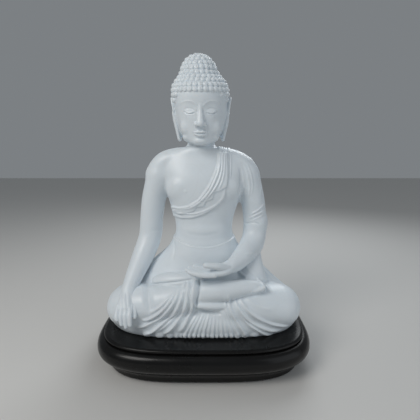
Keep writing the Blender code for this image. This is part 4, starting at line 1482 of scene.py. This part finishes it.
white, tree, shader = finish("white_marble_composite", Subsurface_Weight=0.12, Subsurface_Scale=0.006,
                             Subsurface_Radius=(1.0, 0.85, 0.75), IOR=1.5, Coat_Roughness=0.25)
grain = place_group(tree, grain_group, Scale=1500.0)
cloud = place_group(tree, cloud_group, Scale=16.0, Warp=0.8)
# The cool blue of both tones is painted sky light; the clouding between them is the composite's own.
colour = tint(tree, cloud.outputs["Cloud"], (0.735, 0.80, 0.85), (0.785, 0.84, 0.88))
colour = tint(tree, times(tree, cloud.outputs["Vein"], 0.12), colour, (0.66, 0.70, 0.73))
colour = tint(tree, times(tree, grain.outputs["Specks"], 0.10), colour, (0.62, 0.65, 0.68))
# Hollows, in the folds and between the curls, are painted greyer: painted shade.
colour = tint(tree, stored(tree, "hollow", 0.42), colour, (0.50, 0.55, 0.58))
# Edges that stand out are painted lighter: a painted highlight.
colour = tint(tree, stored(tree, "wear_and_highlight", 0.30), colour, (0.90, 0.91, 0.91))
drive(tree, shader, Base_Color=colour)
dull = work(tree, "ADD", ramp(tree, cloud.outputs["Cloud"], 0.3, 0.7, 0.33, 0.41),
            stored(tree, "hollow", 0.2))
drive(tree, shader, Roughness=work(tree, "SUBTRACT", dull, stored(tree, "wear_and_highlight", 0.08)))
bump(tree, shader, grain.outputs["Height"], 0.12, 0.00012)
print("white composite ready")

# %% [markdown]
# ## Black lacquer
# Many thin coats, rubbed to a satin gloss, over close-grained wood. The grain still telegraphs through as a
# very faint ripple, fine dust lies in the joints, and the arrises are rubbed a little browner by handling.

# %% Black lacquer
lacquer, tree, shader = finish("black_lacquer_finish", Coat_Roughness=0.2, IOR=1.5, Specular_IOR_Level=0.22)
fibre = place_group(tree, fibre_group, Across=420.0, Along=22.0)
grain = place_group(tree, grain_group, Scale=1800.0)
cloud = place_group(tree, cloud_group, Scale=22.0, Warp=0.6)
colour = tint(tree, fibre.outputs["Bands"], (0.0030, 0.0032, 0.0034), (0.0055, 0.0052, 0.0050))
colour = tint(tree, stored(tree, "wear_and_highlight", 0.55), colour, (0.030, 0.024, 0.020))
dust = work(tree, "ADD", times(tree, grain.outputs["Specks"], 0.10), stored(tree, "hollow", 0.16))
colour = tint(tree, dust, colour, (0.10, 0.095, 0.09))
drive(tree, shader, Base_Color=colour)
rough = ramp(tree, cloud.outputs["Cloud"], 0.3, 0.7, 0.24, 0.34)
drive(tree, shader, Roughness=work(tree, "ADD", rough, times(tree, dust, 0.8)))
drive(tree, shader, Coat_Weight=ramp(tree, cloud.outputs["Cloud"], 0.2, 0.8, 0.10, 0.18))
bump(tree, shader, work(tree, "ADD", times(tree, fibre.outputs["Fibre"], 0.5), grain.outputs["Height"]),
     0.10, 0.00025)
print("black lacquer ready")

# %% [markdown]
# ## Steel, rubber, beech and felt
# The hidden fastenings have plain workshop finishes: drawn steel pins and screws, black rubber feet, turned
# beech pegs with their grain upright, and pressed dark felt.

# %% Small finishes
steel, tree, shader = finish("drawn_steel", Metallic=1.0)
fibre = place_group(tree, fibre_group, Across=2600.0, Along=2600.0)
grain = place_group(tree, grain_group, Scale=2500.0)
drive(tree, shader, Base_Color=tint(tree, fibre.outputs["Bands"], (0.46, 0.46, 0.47), (0.58, 0.58, 0.57)))
drive(tree, shader, Roughness=ramp(tree, fibre.outputs["Fibre"], 0.3, 0.7, 0.26, 0.44))
bump(tree, shader, grain.outputs["Height"], 0.2, 0.0001)

rubber, tree, shader = finish("black_rubber")
grain = place_group(tree, grain_group, Scale=3000.0)
cloud = place_group(tree, cloud_group, Scale=60.0)
drive(tree, shader, Base_Color=tint(tree, cloud.outputs["Cloud"], (0.018, 0.018, 0.018),
                                    (0.035, 0.034, 0.033)))
drive(tree, shader, Roughness=ramp(tree, cloud.outputs["Cloud"], 0.3, 0.7, 0.66, 0.82))
bump(tree, shader, grain.outputs["Height"], 0.5, 0.0003)

beech, tree, shader = finish("turned_beech")
fibre = place_group(tree, fibre_group, Across=60.0, Along=1500.0)
turned = node(tree, "ShaderNodeMapping", {"Vector": node(tree, "ShaderNodeTexCoord").outputs["Object"]})
turned.inputs["Rotation"].default_value = (0, math.radians(90), 0)
tree.links.new(turned.outputs["Vector"], fibre.inputs["Vector"])
drive(tree, shader, Base_Color=tint(tree, fibre.outputs["Fibre"], (0.47, 0.29, 0.15), (0.62, 0.42, 0.24)))
drive(tree, shader, Roughness=ramp(tree, fibre.outputs["Fibre"], 0.3, 0.7, 0.48, 0.62))
bump(tree, shader, fibre.outputs["Fibre"], 0.4, 0.0003)

felt, tree, shader = finish("pressed_felt", Sheen_Weight=0.35, Sheen_Roughness=0.5)
fibre = place_group(tree, fibre_group, Across=1600.0, Along=700.0)
grain = place_group(tree, grain_group, Scale=2200.0)
drive(tree, shader, Base_Color=tint(tree, fibre.outputs["Fibre"], (0.014, 0.022, 0.019),
                                    (0.045, 0.06, 0.052)))
drive(tree, shader, Roughness=ramp(tree, grain.outputs["Height"], 0.4, 1.0, 0.86, 0.98))
bump(tree, shader, work(tree, "ADD", fibre.outputs["Fibre"], grain.outputs["Height"]), 0.8, 0.0006)
print("small finishes ready")

# %% [markdown]
# ## Bodies and finishes
# Every skin takes the place of its packed section and rides on the same body, so the figure lifts as one
# and the stand stays put. The pins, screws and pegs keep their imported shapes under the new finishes.

# %% Assign and ride
def dress(piece, paint, body, node_name):
    piece.data.materials.clear()
    piece.data.materials.append(paint)
    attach(piece, body)
    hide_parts(node_name)


for piece, node_name in SKINS.values():
    dress(piece, white, "figure", node_name)
dress(pad_piece, felt, "figure", "felt_pad")
for node_name, piece in STAND.items():
    rubber_foot = node_name.startswith("stand_foot")
    dress(piece, rubber if rubber_foot else lacquer, "stand",
          node_name)
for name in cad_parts:
    paint = steel if "pin" in name or "screw" in name else beech if "locating_peg" in name else None
    if paint:
        for material_slot in bpy.data.objects[name].material_slots:
            material_slot.material = paint
print("pieces dressed:", len(SKINS) + len(STAND) + 1)

# %% Sizes
size = {"cad": [list(corner) for corner in CAD_BOX], "visual": [list(corner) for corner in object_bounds()]}
print("sizes in mm:", [[round(v / MM, 1) for v in corner] for box in size.values() for corner in box])
